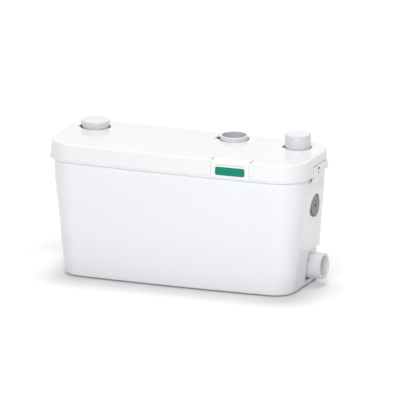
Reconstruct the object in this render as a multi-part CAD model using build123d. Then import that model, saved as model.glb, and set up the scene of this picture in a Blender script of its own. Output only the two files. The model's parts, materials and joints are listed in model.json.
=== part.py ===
from build123d import *
import math
import os

# A waste-water lifting unit: a tapered tank under a clipped lid, with a grinding pump inside.
# Millimetres. X runs along the width, the front faces -Y and Z is up from the floor.

# Driving dimensions of the casing
lid_width = 409.0
lid_depth = 156.0
lid_top = 204.0
skirt_height = 27.0
lid_wall = 2.5
lid_front_round_share = 0.2949
lid_back_round_share = 0.2821
lid_edge = 3.5
front_bow = 4.6
skirt_draft = 1.6
bead = 0.8
bead_height = 2.4
bead_slope_share = 0.9
tank_inset = 6.5
tank_wall = 3.2
tank_front_round_share = 0.2564
tank_back_round_share = 0.2308
rim_drop = 24.0
taper_drop = 30.0
base_taper = 49.0
base_front_round_share = 0.1923
base_back_round_share = 0.1154
front_lean = 6.0
base_fillet = 3.0
foot_height = 2.0
foot_round_share = 0.33

# Fits shared by all pieces
overrun = 5.0
seat_gap = 0.2
press_gap = 0.05
running_gap = 0.05
loose_gap = 0.5

# Rim, gasket and sealing cover
rim_band = 6.0
rim_band_height = 12.0
gasket_width = 5.0
gasket_height = 2.0
cover_thickness = 3.0
cover_inset = 0.4
screw_inset = 6.5
screw_radius = 2.0
screw_head_radius = 4.0
screw_head_height = 2.6
screw_length = 16.0
screw_round_share = 0.33
hex_sides = 6
boss_radius = 5.0
boss_height = 22.0
front_screw_inset = 78.0
side_screw_inset = 48.0

# Casing values worked out from the sizes above
lid_half = lid_width / 2
lid_back = lid_depth / 2
lid_front_radius = lid_front_round_share * lid_depth
lid_back_radius = lid_back_round_share * lid_depth
lid_under = lid_top - lid_wall
skirt_bottom = lid_top - skirt_height
tank_width = lid_width - 2 * tank_inset
tank_depth = lid_depth - 2 * tank_inset
tank_half = tank_width / 2
tank_front = -tank_depth / 2
tank_back = tank_depth / 2
tank_front_radius = tank_front_round_share * lid_depth
tank_back_radius = tank_back_round_share * lid_depth
rim_top = lid_top - rim_drop
taper_top = rim_top - taper_drop
base_width = lid_width - base_taper
base_front_radius = base_front_round_share * lid_depth
base_back_radius = base_back_round_share * lid_depth
floor_top = foot_height + tank_wall
gasket_top = rim_top + gasket_height
cover_top = gasket_top + cover_thickness
front_screw_x = tank_half - front_screw_inset
side_screw_y = lid_back - side_screw_inset

# Places of the vent and the top inlet, of the two side inlets, the pump and the switch
vent_side_inset = 43.0
vent_back_inset = 41.0
inlet_x_share = 0.1308
inlet_back_inset = 32.0
outlet_side_inset = 47.0
side_pipe_back_inset = 50.0
side_pipe_z = 29.5
plug_back_inset = 68.1
plug_drop = 53.9
pump_x = -48.0
pump_y = 6.0
switch_x_share = 0.2567
switch_front_inset = 50.0
vent_x = vent_side_inset - lid_half
vent_y = lid_back - vent_back_inset
inlet_x = inlet_x_share * lid_width
inlet_y = lid_back - inlet_back_inset
outlet_x = lid_half - outlet_side_inset
side_pipe_y = lid_back - side_pipe_back_inset
plug_y = lid_back - plug_back_inset
plug_z = rim_top - plug_drop
switch_x = switch_x_share * lid_width
switch_y = switch_front_inset - lid_back


def plan_section(width, front, back, front_radius, back_radius, bow, z):
    """Outline at one height: straight sides and back, a bowed front and rounded corners."""
    half = width / 2
    shoulder = front + bow
    with BuildSketch(Plane.XY.offset(z)) as section:
        with BuildLine():
            Line((half, shoulder), (half, back))
            Line((half, back), (-half, back))
            Line((-half, back), (-half, shoulder))
            ThreePointArc((-half, shoulder), (0, front), (half, shoulder))
        make_face()
        fillet(section.vertices().group_by(Axis.Y)[-1], back_radius)
        fillet(section.vertices().group_by(Axis.Y)[0], front_radius)
    return section.sketch.face()


def tank_section(z, inset):
    """The tank's outline at a height, moved inwards by an inset."""
    share = min(1, (z - foot_height) / (taper_top - foot_height))
    width = base_width + share * (tank_width - base_width)
    front_radius = base_front_radius + share * (tank_front_radius - base_front_radius)
    back_radius = base_back_radius + share * (tank_back_radius - base_back_radius)
    return plan_section(
        width - 2 * inset,
        tank_front + (1 - share) * front_lean + inset,
        tank_back - inset,
        front_radius - inset,
        back_radius - inset,
        front_bow,
        z,
    )


def tank_form(inset, bottom, top):
    """Tapered body with a straight band above it."""
    taper = loft([tank_section(bottom, inset), tank_section(taper_top, inset)], ruled=True)
    band = extrude(tank_section(taper_top, inset), top - taper_top)
    return taper + band


def lid_section(z, inset):
    """The lid's outline at a height: the skirt widens towards its bottom."""
    spread = skirt_draft * (lid_top - z) / skirt_height
    width = lid_width - 2 * bead - 2 * skirt_draft + 2 * spread
    depth = lid_depth - 2 * bead - 2 * skirt_draft + 2 * spread
    return plan_section(
        width - 2 * inset,
        -depth / 2 + inset,
        depth / 2 - inset,
        lid_front_radius - bead - skirt_draft + spread - inset,
        lid_back_radius - bead - skirt_draft + spread - inset,
        front_bow,
        z,
    )


def lid_form(inset):
    """Solid of the lid's outside, moved inwards by an inset, with its rounded top edge."""
    body = loft([lid_section(skirt_bottom, inset), lid_section(lid_top - inset, inset)], ruled=True)
    return fillet(body.edges().group_by(Axis.Z)[-1], lid_edge - inset)


def front_edge(x):
    """Y of the tank band's front face at a place along the width."""
    return tank_front + front_bow * (x / tank_half) ** 2


def rod(radius, start, end, y, z):
    """Cylinder along X between two places."""
    return Plane(origin=(start, y, z), z_dir=(1, 0, 0)) * Cylinder(
        radius, end - start, align=(Align.CENTER, Align.CENTER, Align.MIN)
    )


def post(radius, x, y, bottom, top):
    """Upright cylinder between two heights."""
    return Pos(x, y, bottom) * Cylinder(
        radius, top - bottom, align=(Align.CENTER, Align.CENTER, Align.MIN)
    )


def block(x_span, y_span, z_span):
    """Box between two corners given as spans."""
    size = [b - a for a, b in (x_span, y_span, z_span)]
    corner = Pos(x_span[0], y_span[0], z_span[0])
    return corner * Box(*size, align=(Align.MIN, Align.MIN, Align.MIN))


def ring(inner, outer, x, y, bottom, top):
    """Upright tube."""
    return post(outer, x, y, bottom, top) - post(inner, x, y, bottom, top)


def screw_places():
    """Places of the sealing cover's screws round the rim."""
    front = [(x, front_edge(x) + screw_inset) for x in (-front_screw_x, 0, front_screw_x)]
    back = [(x, tank_back - screw_inset) for x in (-front_screw_x, 0, front_screw_x)]
    sides = [(side * (tank_half - screw_inset), -side_screw_y) for side in (-1, 1)]
    return front + back + sides


# Pocket in the lower right corner, where the side inlet pipe leaves
pocket_depth = 23.0
pocket_slope_depth = 18.0
pocket_width = 65.0
pocket_bottom = 9.0
pocket_top = 50.6
pocket_radius = 14.0
pipe_hole_radius = 20.45
pocket_depth_x = tank_half - pocket_depth
pocket_slope_x = tank_half - pocket_slope_depth
pocket_front = tank_back - pocket_width

# Recess and boss of the side inlet plug
plug_recess_radius = 17.6
plug_hole_radius = 15.0
plug_recess_depth = 4.1
plug_seat_x = tank_half - plug_recess_depth
plug_boss_radius = 21.0
plug_boss_depth = 5.0

# Side clips
clip_front_share = -0.1026
clip_back_share = 0.1859
catch_end_gap = 9.0
clip_gap = 0.9
clip_face_inset = 1.3
clip_thickness = 2.2
clip_height = 39.5
clip_arm_drop = 15.8
clip_arm_height = 2.0
notch_drop = 12.8
pivot_inset = 6.9
pivot_drop = 11.4
knuckle_radius = 2.5
trunnion_radius = 1.5
trunnion_length = 2.6
lug_thickness = 3.0
lug_reach = 10.5
nose_reach = 0.5
clip_round = 0.8
nose_height = 2.2
clip_hole_radius = 2.4
clip_hole_shift = 1.0
clip_hole_drop = 19.5
clip_dot_radius = 1.5
clip_dot_drop = 26.0
clip_dot_depth = 1.4
clip_front = clip_front_share * lid_depth
clip_back = clip_back_share * lid_depth
catch_front = clip_front + catch_end_gap
catch_back = clip_back - catch_end_gap
clip_face_x = lid_half - clip_face_inset
clip_bottom = lid_top - clip_height
clip_arm_bottom = lid_top - clip_arm_drop
notch_top = lid_top - notch_drop
pivot_x = lid_half - pivot_inset
pivot_z = lid_top - pivot_drop
lug_front_x = lid_half - lug_reach
clip_hole_y = (clip_front + clip_back) / 2 - clip_hole_shift
clip_hole_z = lid_top - clip_hole_drop
clip_dot_z = lid_top - clip_dot_drop

# Rib that the side clips catch under
catch_reach = 2.2
catch_drop = 12.8
catch_height = 3.0
catch_bottom = rim_top - catch_drop

# Rubber feet
foot_radius = 8.0
foot_depth = 1.5
foot_side_inset = 30.0
foot_front_inset = 33.0
foot_back_inset = 28.0
foot_x = base_width / 2 - foot_side_inset
foot_front_y = foot_front_inset - lid_back
foot_back_y = lid_back - foot_back_inset


def pocket_profile(x, top, grow, bottom):
    """The pocket's outline seen from the side: upright front, rounded top corner, open at the back."""
    back = tank_back + overrun
    front = pocket_front - grow
    with BuildSketch(Plane.YZ.offset(x)) as profile:
        with BuildLine():
            Polyline((back, bottom), (front, bottom), (front, top), (back, top), close=True)
        make_face()
        fillet(profile.vertices().group_by(Axis.X)[0].sort_by(Axis.Y)[-1], pocket_radius + grow)
    return profile.sketch.face()


def pocket_form(grow, bottom):
    """Space of the pocket, with its 45 degree ceiling, grown by a wall."""
    outside = tank_half + overrun
    slope_x = pocket_slope_x - grow * (math.sqrt(2) - 1)
    top = pocket_top + grow
    start = pocket_depth_x - grow
    straight = extrude(pocket_profile(start, top, grow, bottom), outside - start)
    low = pocket_profile(slope_x, top, grow, bottom)
    high = pocket_profile(outside, top + outside - slope_x, grow, bottom)
    return straight + loft([low, high], ruled=True)


def foot_places():
    """Places of the rubber feet."""
    return [(side * foot_x, y) for side in (-1, 1) for y in (foot_front_y, foot_back_y)]


def make_tank_shell():
    outside = tank_form(0, foot_height, rim_top)
    outer = fillet(outside.edges().group_by(Axis.Z)[0], base_fillet)
    outer -= pocket_form(0, pocket_bottom)
    cavity = tank_form(tank_wall, floor_top, rim_top - rim_band_height)
    cavity += extrude(tank_section(rim_top - rim_band_height, rim_band), rim_band_height + overrun)
    cavity -= pocket_form(tank_wall, 0)
    shell = outer - cavity
    boss = rod(plug_boss_radius, plug_seat_x - plug_boss_depth, tank_half, plug_y, plug_z) & outside
    shell += boss
    for x, y in screw_places():
        shell += post(boss_radius, x, y, rim_top - boss_height, rim_top)
    shell -= rod(plug_recess_radius, plug_seat_x, tank_half + overrun, plug_y, plug_z)
    shell -= rod(plug_hole_radius, plug_seat_x - plug_boss_depth - overrun, tank_half, plug_y, plug_z)
    inside = pocket_depth_x - tank_wall - overrun
    shell -= rod(pipe_hole_radius, inside, pocket_depth_x + press_gap, side_pipe_y, side_pipe_z)
    for x, y in screw_places():
        shell -= post(screw_radius + press_gap, x, y, cover_top - screw_length, rim_top + overrun)
    for x, y in foot_places():
        shell -= post(foot_radius + press_gap, x, y, 0, foot_height + foot_depth)
    rib = block(
        (tank_half - tank_wall / 2, tank_half + catch_reach),
        (catch_front, catch_back),
        (catch_bottom, catch_bottom + catch_height),
    )
    lead_in = rib.edges().filter_by(Axis.Y).group_by(Axis.Z)[-1].sort_by(Axis.X)[-1]
    rib = chamfer(lead_in, catch_reach / 2)
    return shell + rib + mirror(rib, about=Plane.YZ)


def make_rubber_feet():
    top = foot_height + foot_depth - press_gap
    feet = [post(foot_radius, x, y, 0, top) for x, y in foot_places()]
    lip = foot_round_share * foot_height
    return Compound([fillet(foot.edges().group_by(Axis.Z)[0], lip).solid() for foot in feet])


def make_tank_gasket():
    inset = (rim_band - gasket_width) / 2
    face = tank_section(rim_top, inset) - tank_section(rim_top, inset + gasket_width)
    gasket = extrude(face, gasket_height)
    for x, y in screw_places():
        gasket += post(boss_radius - inset, x, y, rim_top, gasket_top)
        gasket -= post(screw_radius + press_gap, x, y, rim_top, gasket_top)
    return gasket


# Vent neck, carbon filter and vent cap
neck_bore = 15.2
neck_radius = 18.0
neck_top = lid_top
filter_radius = 14.9
filter_depth = 36.0
filter_flange = 1.5
filter_hole_circle = 9.0
filter_hole_count = 6
vent_cap_radius = 21.7
vent_cap_rise = 11.0
vent_cap_height = 7.0
vent_cap_roof = 2.5
vent_cap_wall = 2.0
vent_brim_side = 2.6
vent_brim_foot = 20.2
vent_skirt_depth = 19.0
vent_skirt_wall = 1.7
vent_hole_radius = 22.6
vent_notch_reach = 1.2
vent_notch_half = 10.0
vent_cap_top = lid_top + vent_cap_rise

# Top inlet spigot
inlet_radius = 20.9
inlet_bore = 17.8
inlet_tail_radius = 19.3
inlet_rise = 6.0
inlet_drop = 15.0
flange_reach = 5.1
flange_height = 3.0
seal_height = 2.0
inlet_hole_radius = 22.4
inlet_notch_reach = 5.1
inlet_notch_half = 8.5
inlet_top = lid_top + inlet_rise

# Discharge spigot and its cap
outlet_radius = 16.0
outlet_bore = 13.0
outlet_rise = 14.0
outlet_cap_radius = 19.6
outlet_cap_waist = 19.1
outlet_cap_rise = 7.0
outlet_cap_roof = 3.2
outlet_cap_edge = 2.2
outlet_hole_radius = 20.6
outlet_notch_reach = 1.9
outlet_notch_half = 11.0
outlet_top = lid_top + outlet_rise
outlet_cap_top = outlet_top + outlet_cap_rise

# Check valve between the discharge hose and the discharge spigot
valve_drop = 62.0
valve_radius = 20.0
valve_bore = 17.0
valve_length = 37.5
valve_end_wall = 3.0
riser_radius = 17.0
riser_bore = 13.0
valve_socket_drop = 24.0
valve_socket_depth = 14.0
valve_socket_radius = 19.5
nozzle_radius = 12.5
nozzle_bore = 9.5
barb_length = 16.0
valve_seat_inner = 9.8
valve_seat_outer = 16.6
valve_seat_thickness = 3.0
flap_radius = 13.0
flap_thickness = 2.5
flap_pin_radius = 1.1
flap_pin_rise = 13.6
flap_knuckle = 2.0
flap_knuckle_half = 5.0
flap_pin_share = 1.3
flap_pin_half = 14.0
valve_z = rim_top - valve_drop
valve_left = outlet_x - valve_length
valve_socket_top = rim_top - valve_socket_drop
valve_socket_floor = valve_socket_top - valve_socket_depth
flap_pin_x = valve_left + valve_end_wall + valve_seat_thickness + flap_pin_share * flap_knuckle

# Discharge hose and its clamps
hose_bore = nozzle_radius + press_gap
hose_wall = 2.95
hose_riser_share = 0.58
hose_bend_share = 0.68
hose_rise_share = 0.42
hose_overlap = 14.0
clamp_width = 9.0
clamp_thickness = 0.9
clamp_screw_radius = 2.2
clamp_screw_length = 12.0

# Motor radius as a share of the lid's depth, which the pump under it follows
motor_share = 0.2885

# Pump foot, mounts and grinder under the volute
mount_radius = 5.0
mount_height = 3.0
mount_inset = 8.0
mount_count = 4
mount_turn = 45
foot_cup_inset = 5.0
foot_cup_wall = 3.0
foot_cup_floor = 2.0
slot_count = 18
slot_width = 4.0
slot_height = 8.0
volute_bottom = 21.5
grinder_bore = 20.0
grinder_radius = 25.0
grinder_height = 7.5
grinder_slots = 12
grinder_slot_width = 3.0
cutter_radius = 18.6
cutter_hub = 7.5
cutter_arm = 7.0
cutter_arms = 3
cutter_thickness = 4.0
cutter_lift = 1.2
nut_radius = 6.5
nut_height = 4.0

# Volute casing and impeller
volute_floor = 3.0
volute_top = 46.5
volute_wall = 3.0
volute_start_inset = 17.5
volute_end_inset = 9.0
spiral_steps = 8
volute_outlet_reach = 63.0
volute_flange_reach = 5.5
hose_z = 34.0
volute_flange_height = 3.0
eye_radius = 14.0
impeller_gap = 4.0
impeller_bottom = 28.0
impeller_plate = 2.5
impeller_top = 42.0
impeller_hub = 9.0
vane_count = 5
vane_thickness = 2.2
vane_sweep = 60
vane_belly_share = 0.3

# Motor
shaft_radius = 5.0
plate_thickness = 5.0
plate_top = volute_top + plate_thickness
motor_wall = 2.5
motor_drop = 34.0
bearing_radius = 11.0
bearing_height = 7.0
bearing_seat_wall = 3.0
bearing_inner_race = 7.0
bearing_outer_race = 9.0
bearing_groove = 0.5
seal_radius = 9.9
stator_thickness = 19.0
stator_lift = 22.5
stator_drop = 28.0
stator_slots = 12
stator_slot_width = 4.0
stator_slot_depth = 9.0
winding_height = 8.0
winding_inner_gap = 2.0
winding_outer_gap = 5.0
winding_round = 2.0
air_gap = 0.6
end_cap_thickness = 5.0
tie_rod_reach = 2.6
tie_rod_count = 4
tie_rod_radius = 2.0
tie_head_radius = 3.6
tie_head_height = 3.0
ear_radius = 5.5
isolator_inner = 16.0
isolator_outer = 28.0
isolator_round = 1.0
shaft_chamfer = 1.0
rotor_end_gap = 1.0

# Pump values worked out from the sizes above
motor_radius = motor_share * lid_depth
motor_top = rim_top - motor_drop
foot_cup_radius = motor_radius - foot_cup_inset
mount_circle = foot_cup_radius - mount_inset
volute_flange_radius = motor_radius + volute_flange_reach
volute_start_radius = volute_flange_radius - volute_start_inset
volute_end_radius = volute_flange_radius - volute_end_inset
impeller_radius = volute_start_radius - impeller_gap
stator_bore = motor_radius - stator_thickness
stator_bottom = plate_top + stator_lift
stator_top = motor_top - stator_drop
winding_inner = stator_bore + winding_inner_gap
winding_outer = motor_radius - winding_outer_gap
rotor_radius = stator_bore - air_gap
tie_rod_circle = motor_radius + tie_rod_reach
outlet_y = pump_y + volute_end_radius + volute_wall - nozzle_radius

# Motor socket, capacitor well and board pegs under and on the sealing cover
socket_radius = 30.0
socket_wall = 4.0
socket_drop = 19.0
socket_base = 3.0
well_side_inset = 28.5
well_pump_gap = 68.0
well_front_inset = 34.0
well_back = 0.0
well_depth = 30.0
well_wall = 2.5
peg_radius = 2.5
peg_height = 5.0
board_shift = 12.0
board_front_inset = 43.0
board_length = 70.0
board_width = 40.0
board_thickness = 1.6
peg_inset = 5.0
cover_rib_inset = 22.0
cover_rib_left = -108.0
cover_rib_side_inset = 54.5
cover_rib_width = 2.0
cover_rib_height = 8.0
socket_bottom = rim_top - socket_drop
well_left = well_side_inset - lid_half
well_right = pump_x - well_pump_gap
well_front = well_front_inset - lid_back
well_floor = rim_top - well_depth
board_x = pump_x - board_shift
board_y = board_front_inset - lid_back
cover_rib_y = cover_rib_inset - lid_back
cover_rib_right = lid_half - cover_rib_side_inset

# Cable gland in an upstand at the back of the sealing cover
gland_x = -18.0
gland_drop = 11.0
upstand_back_inset = 20.0
upstand_thickness = 4.0
upstand_half = 10.0
upstand_drop = 4.0
gland_radius = 5.0
gland_bore = 3.5
gland_hex = 6.8
gland_length = 12.0
gland_nut_length = 4.0
gland_z = lid_top - gland_drop
upstand_y = lid_back - upstand_back_inset
upstand_top = lid_top - upstand_drop

# Level switch on the sealing cover
cup_radius = 22.0
cup_flange = 26.0
cup_bore = 19.5
cup_ledge = 17.0
cup_depth = 13.0
cup_floor = 2.5
ledge_depth = 6.0
cup_flange_height = 2.0


def board_pegs():
    """Places of the pegs under the control board."""
    half_x = board_length / 2 - peg_inset
    half_y = board_width / 2 - peg_inset
    return [(board_x + i * half_x, board_y + j * half_y) for i in (-1, 1) for j in (-1, 1)]


def make_sealing_cover():
    cover = extrude(tank_section(gasket_top, cover_inset), cover_thickness)
    cover += post(neck_radius, vent_x, vent_y, gasket_top, neck_top)
    cover -= post(neck_bore, vent_x, vent_y, gasket_top - overrun, neck_top + overrun)
    low = gasket_top - overrun
    high = cover_top + overrun
    cover -= post(inlet_tail_radius + seat_gap, inlet_x, inlet_y, low, high)
    cover -= post(outlet_radius + seat_gap, outlet_x, outlet_y, low, high)
    cover -= post(cup_radius + seat_gap, switch_x, switch_y, low, high)
    socket = post(socket_radius, pump_x, pump_y, socket_bottom, gasket_top)
    inner = socket_radius - socket_wall
    socket -= post(inner, pump_x, pump_y, socket_bottom + socket_base, gasket_top)
    cover += socket
    well = block(
        (well_left - well_wall, well_right + well_wall),
        (well_front - well_wall, well_back + well_wall),
        (well_floor - well_wall, gasket_top),
    )
    cover += fillet(well.edges().filter_by(Axis.Z), 2 * well_wall)
    hollow = block((well_left, well_right), (well_front, well_back), (well_floor, high))
    cover -= fillet(hollow.edges().filter_by(Axis.Z), well_wall)
    for x, y in board_pegs():
        cover += post(peg_radius, x, y, cover_top, cover_top + peg_height)
    cover += block(
        (cover_rib_left, cover_rib_right),
        (cover_rib_y - cover_rib_width, cover_rib_y),
        (gasket_top - cover_rib_height, gasket_top),
    )
    upstand = block(
        (gland_x - upstand_half, gland_x + upstand_half),
        (upstand_y, upstand_y + upstand_thickness),
        (cover_top, upstand_top),
    )
    upstand -= Plane(origin=(gland_x, upstand_y, gland_z), z_dir=(0, 1, 0)) * Cylinder(
        gland_radius + press_gap, 2 * overrun
    )
    cover += upstand
    for x, y in screw_places():
        cover -= post(screw_radius + press_gap, x, y, low, high)
    return cover


def make_cover_screws():
    screws = []
    for x, y in screw_places():
        shank = post(screw_radius, x, y, cover_top - screw_length + loose_gap, cover_top)
        head = post(screw_head_radius, x, y, cover_top, cover_top + screw_head_height)
        head = fillet(head.edges().group_by(Axis.Z)[-1], screw_round_share * screw_head_height)
        hexagon = RegularPolygon(screw_radius, hex_sides)
        socket = Pos(x, y, cover_top + screw_head_height) * extrude(hexagon, -screw_head_height / 2)
        screws.append((shank + head - socket).solid())
    return Compound(screws)


def make_cable_gland():
    plane = Plane(origin=(gland_x, upstand_y, gland_z), z_dir=(0, 1, 0))
    start = -gland_nut_length
    head = plane.offset(start) * extrude(RegularPolygon(gland_hex, hex_sides), gland_nut_length)
    stem = plane * extrude(Circle(gland_radius), gland_length)
    bore = plane.offset(start) * extrude(Circle(gland_bore), gland_nut_length + gland_length)
    return head + stem - bore


def make_gland_nut():
    plane = Plane(origin=(gland_x, upstand_y + upstand_thickness, gland_z), z_dir=(0, 1, 0))
    profile = RegularPolygon(gland_hex, hex_sides) - Circle(gland_radius + press_gap)
    return plane * extrude(profile, gland_nut_length)


def make_carbon_filter():
    flange = post(neck_radius - press_gap, vent_x, vent_y, neck_top, neck_top + filter_flange)
    body = post(filter_radius, vent_x, vent_y, neck_top - filter_depth, neck_top)
    body = chamfer(body.edges().group_by(Axis.Z)[0], filter_flange)
    cartridge = flange + body
    for location in PolarLocations(filter_hole_circle, filter_hole_count):
        hole = Cylinder(filter_flange, 2 * (filter_flange + overrun))
        cartridge -= Pos(vent_x, vent_y, neck_top + filter_flange) * location * hole
    return cartridge


def make_top_inlet_spigot():
    bottom = cover_top + seal_height
    spigot = post(inlet_radius, inlet_x, inlet_y, bottom, inlet_top)
    spigot += post(inlet_tail_radius, inlet_x, inlet_y, gasket_top - inlet_drop, bottom)
    spigot += post(inlet_radius + flange_reach, inlet_x, inlet_y, bottom, bottom + flange_height)
    return spigot - post(inlet_bore, inlet_x, inlet_y, gasket_top - inlet_drop, inlet_top)


def make_top_inlet_seal():
    inner = inlet_tail_radius + press_gap
    outer = inlet_radius + flange_reach - seat_gap
    return ring(inner, outer, inlet_x, inlet_y, cover_top, cover_top + seal_height)


def make_discharge_spigot():
    spigot = post(outlet_radius, outlet_x, outlet_y, valve_socket_floor + seat_gap, outlet_top)
    bottom = cover_top + seal_height
    spigot += post(outlet_radius + flange_reach, outlet_x, outlet_y, bottom, bottom + flange_height)
    return spigot - post(outlet_bore, outlet_x, outlet_y, valve_socket_floor, outlet_top)


def make_discharge_seal():
    inner = outlet_radius + press_gap
    outer = outlet_radius + flange_reach - seat_gap
    return ring(inner, outer, outlet_x, outlet_y, cover_top, cover_top + seal_height)


def make_check_valve_body():
    body = rod(valve_radius, valve_left, outlet_x, outlet_y, valve_z)
    body += Pos(outlet_x, outlet_y, valve_z) * Sphere(valve_radius)
    body += post(riser_radius, outlet_x, outlet_y, valve_z, valve_socket_top)
    socket_low = valve_socket_floor - valve_end_wall
    body += post(valve_socket_radius, outlet_x, outlet_y, socket_low, valve_socket_top)
    body += rod(nozzle_radius, valve_left - barb_length, valve_left, outlet_y, valve_z)
    body -= rod(valve_bore, valve_left + valve_end_wall, outlet_x, outlet_y, valve_z)
    body -= Pos(outlet_x, outlet_y, valve_z) * Sphere(valve_bore)
    body -= post(riser_bore, outlet_x, outlet_y, valve_z, valve_socket_top)
    body -= post(outlet_radius + press_gap, outlet_x, outlet_y, valve_socket_floor, valve_socket_top)
    body -= rod(nozzle_bore, valve_left - barb_length, valve_left + valve_end_wall, outlet_y, valve_z)
    pin_plane = Plane(origin=(flap_pin_x, outlet_y, valve_z + flap_pin_rise), z_dir=(0, 1, 0))
    return body - pin_plane * Cylinder(flap_pin_radius + running_gap, 2 * valve_radius)


def make_valve_seat():
    start = valve_left + valve_end_wall
    seat = rod(valve_seat_outer, start, start + valve_seat_thickness, outlet_y, valve_z)
    return seat - rod(valve_seat_inner, start, start + valve_seat_thickness, outlet_y, valve_z)


def make_check_flap_pin():
    plane = Plane(origin=(flap_pin_x, outlet_y, valve_z + flap_pin_rise), z_dir=(0, 1, 0))
    return plane * Cylinder(flap_pin_radius, 2 * flap_pin_half)


def make_check_flap():
    start = valve_left + valve_end_wall + valve_seat_thickness + seat_gap
    plate = rod(flap_radius, start, start + flap_thickness, outlet_y, valve_z)
    plane = Plane(origin=(flap_pin_x, outlet_y, valve_z + flap_pin_rise), z_dir=(0, 1, 0))
    knuckle = plane * Cylinder(flap_knuckle, 2 * flap_knuckle_half)
    neck = block(
        (flap_pin_x - flap_knuckle, start + flap_thickness),
        (outlet_y - flap_knuckle_half, outlet_y + flap_knuckle_half),
        (valve_z + flap_radius - 2 * flap_knuckle, valve_z + flap_pin_rise),
    )
    bore = plane * Cylinder(flap_pin_radius + running_gap, 2 * flap_pin_half)
    return plate + knuckle + neck - bore


def make_discharge_hose():
    start = pump_x + volute_outlet_reach - hose_overlap
    end = valve_left - 2 * seat_gap
    riser_x = start + hose_riser_share * (end - start)
    bend = min(hose_bend_share * (end - riser_x), hose_rise_share * (valve_z - hose_z))
    path = FilletPolyline(
        (start, outlet_y, hose_z),
        (riser_x, outlet_y, hose_z),
        (riser_x, outlet_y, valve_z),
        (end, outlet_y, valve_z),
        radius=bend,
    )
    section = Plane(origin=(start, outlet_y, hose_z), z_dir=(1, 0, 0)) * (
        Circle(hose_bore + hose_wall) - Circle(hose_bore)
    )
    return sweep(section, path=path)


def make_hose_clamps():
    radius = hose_bore + hose_wall + press_gap
    pump_end = (pump_x + volute_outlet_reach - hose_overlap / 2, hose_z)
    valve_end = (valve_left - barb_length / 2, valve_z)
    clamps = []
    for x, z in (pump_end, valve_end):
        band = rod(radius + clamp_thickness, x - clamp_width / 2, x + clamp_width / 2, outlet_y, z)
        lug_top = z + radius + clamp_thickness + 2 * clamp_screw_radius
        band += block(
            (x - clamp_width / 2, x + clamp_width / 2),
            (outlet_y - clamp_screw_length / 2, outlet_y + clamp_screw_length / 2),
            (z + radius, lug_top),
        )
        band -= rod(radius, x - clamp_width, x + clamp_width, outlet_y, z)
        clamps.append(band.solid())
    return Compound(clamps)


# Side inlet pipe, its seal and its flap
side_radius = 19.0
side_bore = 16.0
side_socket_radius = 19.2
side_inner_reach = 15.0
side_outer_inset = 1.5
side_socket_start = 3.5
side_collar_reach = 8.5
side_collar_width = 2.8
side_collar_radius = 22.0
side_seal_flange = 2.4
side_seal_radius = 24.0
inlet_flap_radius = 17.0
inlet_flap_thickness = 2.8
inlet_pin_radius = 1.4
inlet_pin_reach = 3.6
inlet_pin_rise = 19.7
inlet_knuckle = 3.2
inlet_knuckle_half = 10.3
lug_gap = 0.4
lug_width = 3.0
lug_half_height = 3.4
lug_drop_share = 1.5
side_inner_x = pocket_depth_x - side_inner_reach
side_outer_x = lid_half - side_outer_inset
side_socket_x = pocket_depth_x + side_socket_start
side_collar_x = pocket_depth_x - side_collar_reach
inlet_pin_x = side_inner_x - inlet_pin_reach


def make_side_inlet_pipe():
    pipe = rod(side_radius, side_inner_x, side_outer_x, side_pipe_y, side_pipe_z)
    pipe += rod(side_socket_radius, side_socket_x, side_outer_x, side_pipe_y, side_pipe_z)
    collar_end = side_collar_x + side_collar_width
    pipe += rod(side_collar_radius, side_collar_x, collar_end, side_pipe_y, side_pipe_z)
    lug_z = side_pipe_z + inlet_pin_rise
    for side in (-1, 1):
        span = sorted(side * (inlet_knuckle_half + lug_gap + reach) for reach in (0, lug_width))
        pipe += block(
            (inlet_pin_x - lug_half_height, side_collar_x),
            (side_pipe_y + span[0], side_pipe_y + span[1]),
            (lug_z - lug_drop_share * lug_half_height, lug_z + lug_half_height),
        )
    pipe -= rod(side_bore, side_inner_x - 2 * overrun, side_outer_x, side_pipe_y, side_pipe_z)
    pin = Plane(origin=(inlet_pin_x, side_pipe_y, lug_z), z_dir=(0, 1, 0)) * Cylinder(
        inlet_pin_radius + running_gap, 2 * side_radius
    )
    return pipe - pin


def make_side_inlet_seal():
    inside = pocket_depth_x - tank_wall
    seal = rod(pipe_hole_radius - press_gap, inside, pocket_depth_x, side_pipe_y, side_pipe_z)
    seal += rod(side_seal_radius, inside - side_seal_flange, inside, side_pipe_y, side_pipe_z)
    bore = side_radius + press_gap
    return seal - rod(bore, inside - side_seal_flange, pocket_depth_x, side_pipe_y, side_pipe_z)


def make_inlet_flap_pin():
    half = inlet_knuckle_half + lug_gap + lug_width
    plane = Plane(origin=(inlet_pin_x, side_pipe_y, side_pipe_z + inlet_pin_rise), z_dir=(0, 1, 0))
    return plane * Cylinder(inlet_pin_radius, 2 * half)


def make_inlet_flap():
    end = side_inner_x - seat_gap
    start = end - inlet_flap_thickness
    lug_z = side_pipe_z + inlet_pin_rise
    plate = rod(inlet_flap_radius, start, end, side_pipe_y, side_pipe_z)
    plane = Plane(origin=(inlet_pin_x, side_pipe_y, lug_z), z_dir=(0, 1, 0))
    knuckle = plane * Cylinder(inlet_knuckle, 2 * inlet_knuckle_half)
    neck = block(
        (start, inlet_pin_x + inlet_knuckle),
        (side_pipe_y - inlet_knuckle_half, side_pipe_y + inlet_knuckle_half),
        (side_pipe_z + inlet_flap_radius / 2, lug_z),
    )
    bore = plane * Cylinder(inlet_pin_radius + running_gap, 2 * side_radius)
    return plate + knuckle + neck - bore


# Side inlet plug
plug_radius = 17.0
plug_flange = 1.8
plug_stub_radius = 14.6
plug_stub_length = 8.0
plug_cup_radius = 11.6
plug_dimple = 2.2
plug_round = 0.6


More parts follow.
